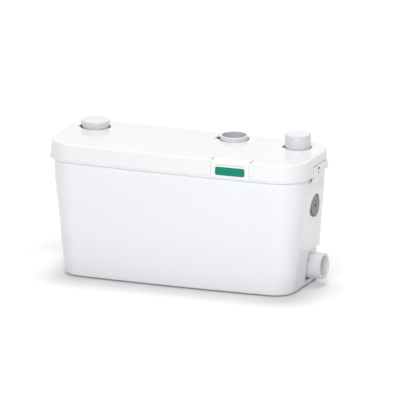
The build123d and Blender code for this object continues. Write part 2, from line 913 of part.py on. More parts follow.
def make_side_inlet_plug():
    seat = plug_seat_x + seat_gap
    plug = rod(plug_radius, seat, seat + plug_flange, plug_y, plug_z)
    plug = fillet(plug.edges().group_by(Axis.X)[-1], plug_round)
    plug += rod(plug_stub_radius, seat - plug_stub_length, seat, plug_y, plug_z)
    plug -= rod(plug_cup_radius, seat - plug_stub_length, seat - plug_flange, plug_y, plug_z)
    return plug - rod(plug_dimple, seat + plug_round, seat + plug_flange, plug_y, plug_z)


def make_isolation_mounts():
    mounts = []
    mount = post(mount_radius, 0, 0, floor_top, floor_top + mount_height)
    for location in PolarLocations(mount_circle, mount_count, start_angle=mount_turn):
        mounts.append((Pos(pump_x, pump_y, 0) * location * mount).solid())
    return Compound(mounts)


def make_pump_foot():
    bottom = floor_top + mount_height
    cup = post(foot_cup_radius, pump_x, pump_y, bottom, volute_bottom)
    inner = foot_cup_radius - foot_cup_wall
    cup -= post(inner, pump_x, pump_y, bottom + foot_cup_floor, volute_bottom)
    slot = Box(2 * (foot_cup_wall + overrun), slot_width, slot_height)
    middle = (bottom + foot_cup_floor + volute_bottom) / 2
    for location in PolarLocations(foot_cup_radius, slot_count):
        cup -= Pos(pump_x, pump_y, middle) * location * slot
    return cup


def make_grinder_ring():
    bottom = volute_bottom - grinder_height
    grinder = ring(grinder_bore, grinder_radius, pump_x, pump_y, bottom, volute_bottom)
    slot = Box(2 * (grinder_radius - grinder_bore), grinder_slot_width, grinder_height)
    for location in PolarLocations((grinder_bore + grinder_radius) / 2, grinder_slots):
        grinder -= Pos(pump_x, pump_y, bottom) * location * slot
    return grinder


def spiral_face(grow):
    """Spiral outline that widens clockwise to the outlet, as four arcs."""
    points = []
    for step in range(spiral_steps + 1):
        share = step / spiral_steps
        angle = math.radians(90 - 360 * share)
        radius = volute_start_radius + share * (volute_end_radius - volute_start_radius) + grow
        points.append((radius * math.cos(angle), radius * math.sin(angle)))
    with BuildSketch() as spiral:
        with BuildLine():
            for start in range(0, spiral_steps, 2):
                ThreePointArc(*points[start:start + 3])
            Line(points[-1], points[0])
        make_face()
    return spiral.sketch


def make_volute_casing():
    body = extrude(spiral_face(volute_wall), volute_top - volute_bottom)
    flange_z = volute_top - volute_bottom - volute_flange_height
    body += Pos(0, 0, flange_z) * Cylinder(
        volute_flange_radius, volute_flange_height, align=(Align.CENTER, Align.CENTER, Align.MIN)
    )
    nozzle_y = outlet_y - pump_y
    nozzle_z = hose_z - volute_bottom
    body += rod(nozzle_radius, 0, volute_outlet_reach, nozzle_y, nozzle_z)
    cavity = extrude(spiral_face(0), volute_top)
    body -= Pos(0, 0, volute_floor) * cavity
    body -= rod(nozzle_bore, 0, volute_outlet_reach, nozzle_y, nozzle_z)
    body -= Cylinder(eye_radius, 2 * overrun)
    for location in PolarLocations(tie_rod_circle, tie_rod_count):
        body -= location * Cylinder(tie_rod_radius + press_gap, 2 * volute_top)
    return Pos(pump_x, pump_y, volute_bottom) * body


def make_seal_plate():
    plate = post(volute_flange_radius, pump_x, pump_y, volute_top, plate_top)
    plate -= post(seal_radius + press_gap, pump_x, pump_y, volute_top - overrun, plate_top + overrun)
    for location in PolarLocations(tie_rod_circle, tie_rod_count):
        hole = Cylinder(tie_rod_radius + press_gap, 2 * (plate_thickness + overrun))
        plate -= Pos(pump_x, pump_y, volute_top) * location * hole
    return plate


def make_shaft_seal():
    bottom = volute_top + seat_gap
    top = plate_top + motor_wall - seat_gap
    return ring(shaft_radius + running_gap, seal_radius, pump_x, pump_y, bottom, top)


def bearing(bottom):
    """Deep groove bearing drawn as two races and the shielded gap between them."""
    top = bottom + bearing_height
    body = ring(shaft_radius + running_gap, bearing_radius, pump_x, pump_y, bottom, top)
    for z in (bottom, top - bearing_groove):
        body -= ring(bearing_inner_race, bearing_outer_race, pump_x, pump_y, z, z + bearing_groove)
    return body


def make_lower_bearing():
    return bearing(plate_top + motor_wall)


def make_upper_bearing():
    return bearing(motor_top - bearing_height - seat_gap)


def make_motor_housing():
    can = post(motor_radius, pump_x, pump_y, plate_top, motor_top)
    can -= post(motor_radius - motor_wall, pump_x, pump_y, plate_top + motor_wall, motor_top)
    seat_top = plate_top + motor_wall + bearing_height
    seat_bottom = plate_top + motor_wall
    can += post(bearing_radius + bearing_seat_wall, pump_x, pump_y, seat_bottom, seat_top)
    can -= post(bearing_radius + press_gap, pump_x, pump_y, seat_bottom, seat_top)
    return can - post(seal_radius + press_gap, pump_x, pump_y, plate_top, seat_bottom)


def make_stator_core():
    outer = motor_radius - motor_wall - press_gap
    core = ring(stator_bore, outer, pump_x, pump_y, stator_bottom, stator_top)
    middle = (stator_bottom + stator_top) / 2
    slot = Box(2 * stator_slot_depth, stator_slot_width, stator_top - stator_bottom)
    for location in PolarLocations(stator_bore, stator_slots):
        core -= Pos(pump_x, pump_y, middle) * location * slot
    return core


def make_stator_windings():
    coils = []
    for bottom in (stator_bottom - winding_height, stator_top):
        top = bottom + winding_height
        coil = ring(winding_inner, winding_outer, pump_x, pump_y, bottom, top)
        coils.append(fillet(coil.edges(), winding_round).solid())
    return Compound(coils)


def make_motor_end_cap():
    cap = post(motor_radius, pump_x, pump_y, motor_top, motor_top + end_cap_thickness)
    ear = post(ear_radius, 0, 0, motor_top, motor_top + end_cap_thickness)
    for location in PolarLocations(tie_rod_circle, tie_rod_count):
        cap += Pos(pump_x, pump_y, 0) * location * ear
    seat_bottom = motor_top - bearing_height - seat_gap
    cap += post(bearing_radius + bearing_seat_wall, pump_x, pump_y, seat_bottom, motor_top)
    cap -= post(bearing_radius + press_gap, pump_x, pump_y, seat_bottom, motor_top)
    for location in PolarLocations(tie_rod_circle, tie_rod_count):
        hole = Cylinder(tie_rod_radius + press_gap, 2 * (end_cap_thickness + overrun))
        cap -= Pos(pump_x, pump_y, motor_top) * location * hole
    return cap


def make_tie_rods():
    rods = []
    bottom = volute_top - volute_flange_height
    top = motor_top + end_cap_thickness
    for location in PolarLocations(tie_rod_circle, tie_rod_count):
        bolt = post(tie_rod_radius, 0, 0, bottom, top)
        bolt += post(tie_head_radius, 0, 0, top, top + tie_head_height)
        rods.append((Pos(pump_x, pump_y, 0) * location * bolt).solid())
    return Compound(rods)


def make_motor_isolator():
    bottom = motor_top + end_cap_thickness
    body = ring(isolator_inner, isolator_outer, pump_x, pump_y, bottom, socket_bottom)
    return fillet(body.edges().group_by(Axis.Z)[0], isolator_round)


def make_motor_shaft():
    bottom = volute_bottom - grinder_height - nut_height + cutter_lift
    shaft = post(shaft_radius, pump_x, pump_y, bottom, motor_top - seat_gap)
    return chamfer(shaft.edges().group_by(Axis.Z)[0], shaft_chamfer)


def make_rotor_core():
    bottom = stator_bottom + rotor_end_gap
    top = stator_top - rotor_end_gap
    core = ring(shaft_radius + press_gap, rotor_radius, pump_x, pump_y, bottom, top)
    rims = core.edges().filter_by(GeomType.CIRCLE).sort_by(SortBy.RADIUS)[-2:]
    return chamfer(rims, rotor_end_gap)


def make_impeller():
    disc = post(impeller_radius, pump_x, pump_y, impeller_top - impeller_plate, impeller_top)
    disc += post(impeller_hub, pump_x, pump_y, impeller_bottom, impeller_top)
    middle = (impeller_radius + impeller_hub) / 2
    tip_angle = math.radians(vane_sweep)
    belly_angle = vane_belly_share * tip_angle
    spine = ThreePointArc(
        (impeller_hub - vane_thickness, 0),
        (middle * math.cos(belly_angle), middle * math.sin(belly_angle)),
        (impeller_radius * math.cos(tip_angle), impeller_radius * math.sin(tip_angle)),
    )
    vane = trace(spine, vane_thickness) & Circle(impeller_radius)
    blade = extrude(vane, impeller_top - impeller_plate - impeller_bottom)
    for turn in range(vane_count):
        disc += Pos(pump_x, pump_y, impeller_bottom) * Rot(0, 0, 360 * turn / vane_count) * blade
    return disc - post(shaft_radius + press_gap, pump_x, pump_y, impeller_bottom, impeller_top)


def make_cutter_blade():
    bottom = volute_bottom - grinder_height + cutter_lift
    profile = Circle(cutter_hub)
    arm = Pos(cutter_radius / 2, 0) * Rectangle(cutter_radius, cutter_arm)
    for turn in range(cutter_arms):
        profile += Rot(0, 0, 360 * turn / cutter_arms) * arm
    profile = profile & Circle(cutter_radius)
    profile -= Circle(shaft_radius + press_gap)
    return Pos(pump_x, pump_y, bottom) * extrude(profile, cutter_thickness)


def make_blade_nut():
    bottom = volute_bottom - grinder_height - nut_height + cutter_lift
    profile = RegularPolygon(nut_radius, hex_sides) - Circle(shaft_radius + press_gap)
    return Pos(pump_x, pump_y, bottom) * extrude(profile, nut_height)


# Pressure bell and level switch
bell_radius = 18.0
bell_bottom = 14.0
bell_height = 34.0
bell_wall = 2.0
dip_radius = 8.0
nipple_radius = 5.0
nipple_bore = 2.0
nipple_length = 12.0
diaphragm_thickness = 1.2
diaphragm_bead = 0.8
switch_cover_thickness = 2.0
plunger_disc = 12.0
plunger_disc_height = 1.8
plunger_stem = 2.7
plunger_rise = 3.2
micro_length = 20.0
micro_width = 10.0
micro_height = 9.0
micro_round = 0.8
micro_pocket_radius = 3.4
micro_pocket_depth = 5.2


def make_pressure_bell():
    top = cover_top - cup_depth - seat_gap
    shoulder = bell_bottom + bell_height
    with BuildSketch(Plane.XZ) as profile:
        with BuildLine():
            Polyline(
                (bell_radius - bell_wall, bell_bottom),
                (bell_radius, bell_bottom),
                (bell_radius, shoulder),
                (dip_radius, shoulder + bell_radius / 2),
                (dip_radius, top),
                (nipple_radius + press_gap, top),
                (nipple_radius + press_gap, shoulder + bell_radius / 2),
                (bell_radius - bell_wall, shoulder - bell_wall),
                close=True,
            )
        make_face()
    return Pos(switch_x, switch_y, 0) * revolve(profile.sketch, Axis.Z)


def make_switch_housing():
    bottom = cover_top - cup_depth
    top = cover_top + cup_flange_height
    cup = post(cup_radius, switch_x, switch_y, bottom, top)
    cup += post(cup_flange, switch_x, switch_y, cover_top, top)
    cup += post(nipple_radius, switch_x, switch_y, bottom - nipple_length, bottom)
    cup -= post(cup_ledge, switch_x, switch_y, bottom + cup_floor, top)
    cup -= post(cup_bore, switch_x, switch_y, cover_top - ledge_depth, top)
    return cup - post(nipple_bore, switch_x, switch_y, bottom - nipple_length, bottom + cup_floor)


def make_diaphragm():
    bottom = cover_top - ledge_depth
    top = bottom + diaphragm_thickness
    disc = post(cup_bore - seat_gap, switch_x, switch_y, bottom, top)
    ridge_radius = plunger_disc + 2 * diaphragm_bead
    return disc + ring(plunger_disc, ridge_radius, switch_x, switch_y, bottom - diaphragm_bead, bottom)


def make_switch_cover():
    bottom = cover_top - ledge_depth + diaphragm_thickness
    top = cover_top + cup_flange_height
    cover = ring(cup_ledge - bell_wall, cup_bore - seat_gap, switch_x, switch_y, bottom, top)
    cover += post(cup_flange, switch_x, switch_y, top, top + switch_cover_thickness)
    hole = plunger_stem + seat_gap
    return cover - post(hole, switch_x, switch_y, top, top + switch_cover_thickness)


def make_switch_plunger():
    bottom = cover_top - ledge_depth + diaphragm_thickness + seat_gap
    disc = post(plunger_disc, switch_x, switch_y, bottom, bottom + plunger_disc_height)
    stem_top = cover_top + cup_flange_height + plunger_rise
    return disc + post(plunger_stem, switch_x, switch_y, bottom, stem_top)


def make_microswitch():
    bottom = cover_top + cup_flange_height + switch_cover_thickness
    body = block(
        (switch_x - micro_length / 2, switch_x + micro_length / 2),
        (switch_y - micro_width / 2, switch_y + micro_width / 2),
        (bottom, bottom + micro_height),
    )
    body = fillet(body.edges().filter_by(Axis.Z), micro_round)
    return body - post(micro_pocket_radius, switch_x, switch_y, bottom, bottom + micro_pocket_depth)


# Electrical parts on the sealing cover
relay_length = 19.0
relay_width = 15.0
part_height = 7.5
transformer_length = 24.0
transformer_width = 20.0
smoothing_radius = 4.0
terminal_x = 2.0
terminal_length = 30.0
terminal_width = 14.0
terminal_height = 10.0
terminal_ways = 5
terminal_hole = 2.0
capacitor_radius = 13.5
capacitor_end_gap = 5.0
capacitor_round = 1.3


def make_control_board():
    bottom = cover_top + peg_height
    top = bottom + board_thickness
    board = block(
        (board_x - board_length / 2, board_x + board_length / 2),
        (board_y - board_width / 2, board_y + board_width / 2),
        (bottom, top),
    )
    part_top = top + part_height
    left = board_x - board_length / 2 + 2 * peg_inset
    board += block(
        (left, left + relay_length),
        (board_y - relay_width / 2, board_y + relay_width / 2),
        (top, part_top),
    )
    right = board_x + board_length / 2 - 2 * peg_inset
    board += block(
        (right - transformer_length, right),
        (board_y - transformer_width / 2, board_y + transformer_width / 2),
        (top, part_top),
    )
    for side in (-1, 1):
        can_y = board_y + side * relay_width / 2
        board += post(smoothing_radius, board_x - smoothing_radius, can_y, top, part_top)
    return board


def make_terminal_block():
    body = block(
        (terminal_x - terminal_length / 2, terminal_x + terminal_length / 2),
        (board_y - terminal_width / 2, board_y + terminal_width / 2),
        (cover_top, cover_top + terminal_height),
    )
    pitch = terminal_length / terminal_ways
    first = terminal_x - (terminal_length - pitch) / 2
    top = cover_top + terminal_height
    for way in range(terminal_ways):
        body -= post(terminal_hole, first + pitch * way, board_y, cover_top + terminal_height / 2, top)
    return body


def make_run_capacitor():
    start = well_left + capacitor_end_gap
    end = well_right - capacitor_end_gap
    axis_y = (well_front + well_back) / 2
    axis_z = well_floor + capacitor_radius
    can = rod(capacitor_radius, start, end, axis_y, axis_z)
    return fillet(can.edges().filter_by(GeomType.CIRCLE), capacitor_round)


# Posts and clip lugs under the lid
post_radius = 4.0
post_board_gap = 10.0
post_middle_x = 10.0
post_side_inset = 54.5
front_post_inset = 18.0
back_left_post_gap = 56.5
back_left_post_inset = 38.0
back_middle_post_inset = 18.0
back_right_post_gap = 47.5
back_right_post_inset = 20.0
post_left_x = board_x - board_length / 2 - post_board_gap
post_right_x = lid_half - post_side_inset
front_post_y = front_post_inset - lid_back
lid_rib_width = 1.6
lid_rib_height = 5.0
cord_notch_half = 8.0
notch_round = 1.0

# Label plate bent over the lid's front edge
label_side_inset = 80.5
label_width = 59.0
label_thickness = 0.9
label_reach = 20.5
label_lift = 1.6
label_gap = 0.4
label_slot_width = 1.3
label_slot_length = 14.0
label_right = lid_half - label_side_inset
label_left = label_right - label_width
label_back = label_reach - lid_back
label_bottom = skirt_bottom + label_lift


def post_places():
    """Places of the posts that stand on the sealing cover and carry the lid."""
    front = [(x, front_post_y) for x in (post_left_x, post_middle_x, post_right_x)]
    return front + [
        (vent_x + back_left_post_gap, lid_back - back_left_post_inset),
        (post_middle_x, lid_back - back_middle_post_inset),
        (outlet_x - back_right_post_gap, lid_back - back_right_post_inset),
    ]


def port_cut(x, y, radius, reach, half):
    """Round hole with a square notch on its left, cut through the lid's top."""
    span = (lid_under - overrun, lid_top + overrun)
    notch = block((x - radius - reach, x), (y - half, y + half), span)
    notch = fillet(notch.edges().filter_by(Axis.Z), notch_round)
    return post(radius, x, y, *span) + notch


def label_region(depth, grow):
    """Part of the lid's skin where the label plate lies."""
    skin = lid_form(0) - lid_form(depth)
    window = block(
        (label_left - grow, label_right + grow),
        (-lid_depth, label_back + grow),
        (label_bottom - grow, lid_top + overrun),
    )
    return skin & window


def make_lid_cover():
    body = lid_form(0)
    rim = extrude(lid_section(skirt_bottom, -bead), bead_height)
    body += chamfer(rim.edges().group_by(Axis.Z)[-1], bead_slope_share * bead)
    body -= lid_form(lid_wall)
    rooted = lid_under + lid_wall / 2
    for x, y in post_places():
        body += post(post_radius, x, y, cover_top, rooted)
    body += block(
        (post_left_x, post_right_x),
        (front_post_y - lid_rib_width / 2, front_post_y + lid_rib_width / 2),
        (lid_under - lid_rib_height, rooted),
    )
    body -= port_cut(vent_x, vent_y, vent_hole_radius, vent_notch_reach, vent_notch_half)
    body -= port_cut(inlet_x, inlet_y, inlet_hole_radius, inlet_notch_reach, inlet_notch_half)
    body -= port_cut(outlet_x, outlet_y, outlet_hole_radius, outlet_notch_reach, outlet_notch_half)
    body -= block(
        (gland_x - cord_notch_half, gland_x + cord_notch_half),
        (lid_back - 2 * lid_wall - bead, lid_back + overrun),
        (skirt_bottom - overrun, gland_z + cord_notch_half),
    )
    body -= label_region(label_thickness + press_gap, label_gap)
    for edge, side in ((label_left, -1), (label_right, 1)):
        span = sorted((edge, edge + side * (label_gap + label_slot_width)))
        slot = (label_back - label_slot_length, label_back)
        body -= block(span, slot, (lid_under, lid_top + overrun))
    way = (clip_front - clip_gap, clip_back + clip_gap)
    for side in (-1, 1):
        span = sorted((side * lug_front_x, side * (lid_half + overrun)))
        body -= block(span, way, (skirt_bottom - overrun, notch_top))
        span = sorted((side * lug_front_x, side * (pivot_x + knuckle_radius + lid_wall)))
        for start in (way[0] - lug_thickness, way[1]):
            lug = block(span, (start, start + lug_thickness), (pivot_z - 2 * knuckle_radius, rooted))
            body += lug & lid_form(lid_wall / 2)
        middle = (clip_front + clip_back) / 2
        pivot = Plane(origin=(side * pivot_x, middle, pivot_z), z_dir=(0, 1, 0))
        body -= pivot * Cylinder(trunnion_radius + running_gap, way[1] - way[0] + 2 * trunnion_length)
    return body


def make_label_plate():
    return label_region(label_thickness, 0)


def make_latch(side):
    """Side clip: a plate that hangs from its pivot under the lid and hooks under the tank's rib."""
    width = clip_back - clip_front
    middle = (clip_back + clip_front) / 2
    inner = clip_face_x - clip_thickness
    neck = (pivot_x - knuckle_radius / 2, pivot_x + knuckle_radius / 2)
    arm_top = clip_arm_bottom + clip_arm_height
    span = (clip_front, clip_back)
    latch = block((inner, clip_face_x), span, (clip_bottom, arm_top))
    latch = fillet(latch.edges().filter_by(Axis.Y).group_by(Axis.X)[-1], clip_round)
    latch += block((neck[0], inner), span, (clip_arm_bottom, arm_top))
    latch += block(neck, span, (clip_arm_bottom, pivot_z))
    pivot = Plane(origin=(pivot_x, middle, pivot_z), z_dir=(0, 1, 0))
    latch += pivot * Cylinder(knuckle_radius, width)
    latch += pivot * Cylinder(trunnion_radius, width + 2 * (clip_gap + trunnion_length - seat_gap))
    nose = ((inner - nose_reach, inner), (catch_front, catch_back))
    latch += block(*nose, (clip_bottom, clip_bottom + nose_height))
    latch -= rod(clip_hole_radius, inner - overrun, clip_face_x + overrun, clip_hole_y, clip_hole_z)
    latch -= rod(clip_dot_radius, clip_face_x - clip_dot_depth, clip_face_x, clip_hole_y, clip_dot_z)
    return latch if side > 0 else mirror(latch, about=Plane.YZ)


def make_vent_cap():
    brim_bottom = vent_cap_top - vent_cap_height
    roof = vent_cap_top - vent_cap_roof
    skirt_radius = neck_radius + loose_gap / 2
    skirt_bottom_z = vent_cap_top - vent_skirt_depth
    brim_middle = vent_cap_top - vent_brim_side
    cap = post(vent_cap_radius, vent_x, vent_y, brim_middle, vent_cap_top)
    cap = fillet(cap.edges().group_by(Axis.Z)[-1], vent_cap_wall)
    taper = Cone(vent_brim_foot, vent_cap_radius, brim_middle - brim_bottom)
    cap += Pos(vent_x, vent_y, (brim_middle + brim_bottom) / 2) * taper
    cap -= post(vent_cap_radius - vent_cap_wall, vent_x, vent_y, brim_bottom, roof)
    cap += ring(skirt_radius, skirt_radius + vent_skirt_wall, vent_x, vent_y, skirt_bottom_z, roof)
    pad_bottom = neck_top + filter_flange + seat_gap
    spoke = Rectangle(2 * skirt_radius + vent_skirt_wall, vent_cap_wall)
    for turn in (0, 90):
        cap += Pos(vent_x, vent_y, pad_bottom) * Rot(0, 0, turn) * extrude(spoke, roof - pad_bottom)
    return cap


def make_discharge_cap():
    bottom = cover_top + seal_height + flange_height + seat_gap
    middle = (bottom + outlet_cap_top) / 2
    with BuildSketch(Plane.XZ) as profile:
        with BuildLine():
            Line((0, bottom), (outlet_cap_radius, bottom))
            ThreePointArc(
                (outlet_cap_radius, bottom), (outlet_cap_waist, middle), (outlet_cap_radius, outlet_cap_top)
            )
            Line((outlet_cap_radius, outlet_cap_top), (0, outlet_cap_top))
            Line((0, outlet_cap_top), (0, bottom))
        make_face()
    cap = Pos(outlet_x, outlet_y, 0) * revolve(profile.sketch, Axis.Z)
    cap = fillet(cap.edges().group_by(Axis.Z)[-1], outlet_cap_edge)
    bore = outlet_radius + loose_gap / 2
    return cap - post(bore, outlet_x, outlet_y, bottom, outlet_cap_top - outlet_cap_roof)


makers = {
    "tank_shell": make_tank_shell,
    "rubber_feet": make_rubber_feet,
    "tank_gasket": make_tank_gasket,
    "sealing_cover": make_sealing_cover,
    "cover_screws": make_cover_screws,
    "cable_gland": make_cable_gland,
    "gland_nut": make_gland_nut,
    "carbon_filter": make_carbon_filter,
    "top_inlet_spigot": make_top_inlet_spigot,
    "top_inlet_seal": make_top_inlet_seal,
    "discharge_spigot": make_discharge_spigot,
    "discharge_seal": make_discharge_seal,
    "check_valve_body": make_check_valve_body,
    "valve_seat": make_valve_seat,
    "check_flap_pin": make_check_flap_pin,
    "check_flap": make_check_flap,
    "discharge_hose": make_discharge_hose,
    "hose_clamps": make_hose_clamps,
    "side_inlet_pipe": make_side_inlet_pipe,
    "side_inlet_seal": make_side_inlet_seal,
    "inlet_flap_pin": make_inlet_flap_pin,
    "inlet_flap": make_inlet_flap,
    "side_inlet_plug": make_side_inlet_plug,
    "isolation_mounts": make_isolation_mounts,
    "pump_foot": make_pump_foot,
    "grinder_ring": make_grinder_ring,
    "volute_casing": make_volute_casing,
    "seal_plate": make_seal_plate,
    "shaft_seal": make_shaft_seal,
    "lower_bearing": make_lower_bearing,
    "upper_bearing": make_upper_bearing,
    "motor_housing": make_motor_housing,
    "stator_core": make_stator_core,
    "stator_windings": make_stator_windings,
    "motor_end_cap": make_motor_end_cap,
    "tie_rods": make_tie_rods,
    "motor_isolator": make_motor_isolator,
    "motor_shaft": make_motor_shaft,
    "rotor_core": make_rotor_core,
    "impeller": make_impeller,
    "cutter_blade": make_cutter_blade,
    "blade_nut": make_blade_nut,
    "pressure_bell": make_pressure_bell,
    "switch_housing": make_switch_housing,
    "diaphragm": make_diaphragm,
    "switch_cover": make_switch_cover,
    "switch_plunger": make_switch_plunger,
    "microswitch": make_microswitch,
    "control_board": make_control_board,
    "terminal_block": make_terminal_block,
    "run_capacitor": make_run_capacitor,
    "lid_cover": make_lid_cover,
    "label_plate": make_label_plate,
    "latch_right": lambda: make_latch(1),
    "latch_left": lambda: make_latch(-1),
    "vent_cap": make_vent_cap,
    "discharge_cap": make_discharge_cap,
}

os.makedirs("parts", exist_ok=True)
for name, make in makers.items():
    export_step(make(), f"parts/{name}.step")
    print(name)
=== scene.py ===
import bpy
import json
import math
from mathutils import Matrix, Vector
from mathutils.bvhtree import BVHTree


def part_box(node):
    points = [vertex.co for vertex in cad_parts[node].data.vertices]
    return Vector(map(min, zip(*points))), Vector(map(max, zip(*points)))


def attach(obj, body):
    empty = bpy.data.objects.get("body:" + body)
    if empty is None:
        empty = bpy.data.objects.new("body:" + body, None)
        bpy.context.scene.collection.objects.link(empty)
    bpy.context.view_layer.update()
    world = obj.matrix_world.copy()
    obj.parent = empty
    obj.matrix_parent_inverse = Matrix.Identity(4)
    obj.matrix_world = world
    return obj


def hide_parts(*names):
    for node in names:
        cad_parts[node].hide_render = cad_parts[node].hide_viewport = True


# Waste-water lifting unit: white moulded tank and lid, with the pump, valve and switch inside.
# Metres. The width runs along X, the front faces -Y and Z is up from the floor.

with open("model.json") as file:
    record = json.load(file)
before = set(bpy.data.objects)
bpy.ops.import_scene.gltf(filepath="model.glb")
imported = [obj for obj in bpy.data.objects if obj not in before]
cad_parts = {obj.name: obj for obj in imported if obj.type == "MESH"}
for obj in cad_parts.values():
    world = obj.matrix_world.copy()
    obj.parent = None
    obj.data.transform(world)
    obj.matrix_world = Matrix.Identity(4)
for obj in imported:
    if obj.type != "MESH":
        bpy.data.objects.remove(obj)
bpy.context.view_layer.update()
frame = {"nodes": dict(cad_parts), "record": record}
nodes = frame["nodes"]
slotOf = {part["node"]: part["material_slot"] for part in frame["record"]["subparts"]}
print("frame loaded with", len(nodes), "nodes")


class Wire:  # one output of a shader node, which can be used in sums
    def __init__(self, recipe, socket):
        self.recipe = recipe
        self.socket = socket

    def maths(self, operation, first, second=0.0):
        return self.recipe.node("ShaderNodeMath", {"operation": operation}, {0: first, 1: second})

    def also(self, name):  # another output of the same node
        return Wire(self.recipe, self.socket.node.outputs[name])

    def __add__(self, value):
        return self.maths("ADD", self, value)

    def __radd__(self, value):
        return self.maths("ADD", value, self)

    def __sub__(self, value):
        return self.maths("SUBTRACT", self, value)

    def __rsub__(self, value):
        return self.maths("SUBTRACT", value, self)

    def __mul__(self, value):
        return self.maths("MULTIPLY", self, value)

    def __rmul__(self, value):
        return self.maths("MULTIPLY", value, self)

    def __pow__(self, value):
        return self.maths("POWER", self, value)

    def sine(self):
        return self.maths("SINE", self)

    def size(self):
        return self.maths("ABSOLUTE", self)

    def most(self, value):
        return self.maths("MAXIMUM", self, value)

    def above(self, value, softness):  # 1 above a value and 0 below it, with a soft step
        ends = {"Value": self, "From Min": value - softness, "From Max": value + softness}
        return self.recipe.node("ShaderNodeMapRange", {"interpolation_type": "SMOOTHSTEP"}, ends)


class Recipe:  # the shader nodes of a material or of the world, while they are made
    def __init__(self, owner):
        self.owner = owner
        owner.use_nodes = True
        self.tree = owner.node_tree
        self.tree.nodes.clear()

    def node(self, kind, settings=None, sockets=None, output=0):
        made = self.tree.nodes.new(kind)
        for key, value in (settings or {}).items():
            setattr(made, key, value)
        for key, value in (sockets or {}).items():
            if isinstance(value, Wire):
                self.tree.links.new(value.socket, made.inputs[key])
            else:
                made.inputs[key].default_value = value
        return Wire(self, made.outputs[output])

    def place(self):  # where a point of the part is at rest, in metres
        return self.node("ShaderNodeTexCoord", output="Object")

    def axes(self, vector):
        x = self.node("ShaderNodeSeparateXYZ", None, {0: vector})
        return x, x.also("Y"), x.also("Z")

    def stretch(self, vector, along):  # a place scaled differently along each axis
        return self.node("ShaderNodeVectorMath", {"operation": "MULTIPLY"}, {0: vector, 1: along})

    def noise(self, place, scale, detail=2.0, rough=0.5):
        return self.node("ShaderNodeTexNoise", None,
                         {"Vector": place, "Scale": scale, "Detail": detail, "Roughness": rough})

    def cells(self, place, scale, feature="F1"):
        return self.node("ShaderNodeTexVoronoi", {"feature": feature}, {"Vector": place, "Scale": scale}, "Distance")

    def mix(self, share, first, second):  # two colours
        return self.node("ShaderNodeMix", {"data_type": "RGBA"}, {0: share, 6: first, 7: second}, 2)

    def around(self, x, y):  # distance from an axis
        return (x * x + y * y) ** 0.5

    def bore(self, place, spot):  # 1 inside a bore along X
        x, y, z = self.axes(place)
        return 1 - self.around(y - spot["y"], z - spot["z"]).above(spot["radius"], 0.0002)

    def softEdges(self, radius):  # a small moulded radius on every edge, and a mask that shows it
        rounded = self.node("ShaderNodeBevel", {"samples": 6}, {"Radius": radius})
        true = self.node("ShaderNodeNewGeometry", output="Normal")
        alike = self.node("ShaderNodeVectorMath", {"operation": "DOT_PRODUCT"}, {0: rounded, 1: true}, "Value")
        return rounded, (1 - alike).above(0.14, 0.08)

    def bump(self, height, distance, strength, normal):
        return self.node("ShaderNodeBump", None, {"Height": height, "Distance": distance,
                                                  "Strength": strength, "Normal": normal})

    def seen(self):  # 1 for what the camera sees, straight or by gloss or glass
        path = self.node("ShaderNodeLightPath", output="Is Camera Ray")
        return path.most(path.also("Is Glossy Ray")).most(path.also("Is Transmission Ray"))

    def show(self, shader, kind="ShaderNodeOutputMaterial"):
        end = self.tree.nodes.new(kind)
        self.tree.links.new(shader.socket, end.inputs["Surface"])
        return self.owner

    def finish(self, sockets):
        return self.show(self.node("ShaderNodeBsdfPrincipled", None, sockets))


def newMaterial(name):
    return Recipe(bpy.data.materials.new(name))


def paint(colour, share=1.0):
    return tuple(part * share for part in colour) + (1.0,)


def addPiece(name, points, faces, material):
    mesh = bpy.data.meshes.new(name)
    mesh.from_pydata(points, [], faces)
    mesh.update()
    mesh.materials.append(material)
    piece = bpy.data.objects.new(name, mesh)
    bpy.context.scene.collection.objects.link(piece)
    return piece


# White mouldings: the tank, the lid, the spigots and caps, the side pipe and the clips

tankFinish = {"colour": (0.860, 0.868, 0.898), "gloss": 0.17, "grain": 0.00004, "edge": 0.0005}
lidFinish = {"colour": (0.872, 0.878, 0.892), "gloss": 0.16, "grain": 0.00003, "edge": 0.0004}
# The ports are painted as lit and shaded copies: a grey colour for the sides in painted shade, a paler top for faces
# that look up in painted light
portFinish = {"colour": (0.690, 0.702, 0.730), "top": (0.835, 0.842, 0.855), "gloss": 0.18,
              "grain": 0.00003, "edge": 0.0004}
pipeFinish = dict(portFinish, spots=[
    {"y": 0.0280, "z": 0.0295, "radius": 0.0165, "colour": (0.93, 0.94, 0.95)}])  # the bore, painted paler as painted light
clipFinish = dict(lidFinish, spots=[
    {"y": 0.0055, "z": 0.1845, "radius": 0.0025, "colour": (0.055, 0.052, 0.050)},  # the hole, painted dark as painted shade
    {"y": 0.0055, "z": 0.1780, "radius": 0.0016, "colour": (0.20, 0.15, 0.11)}])  # the dot
moulding = {"cloudScale": 9.0, "drift": 0.015, "flowScale": 70.0, "grainScale": 2600.0, "scuffScale": 240.0,
            "scuffFrom": (0.70, 0.05), "scuffShare": 0.06, "scuffTone": (0.55, 0.55, 0.54),
            "edgeShare": 0.12, "edgeTone": (0.93, 0.93, 0.92), "litTopFrom": (0.75, 0.15),
            "coat": 0.25, "coatGloss": 0.08, "uneven": 0.04, "relief": 0.5}


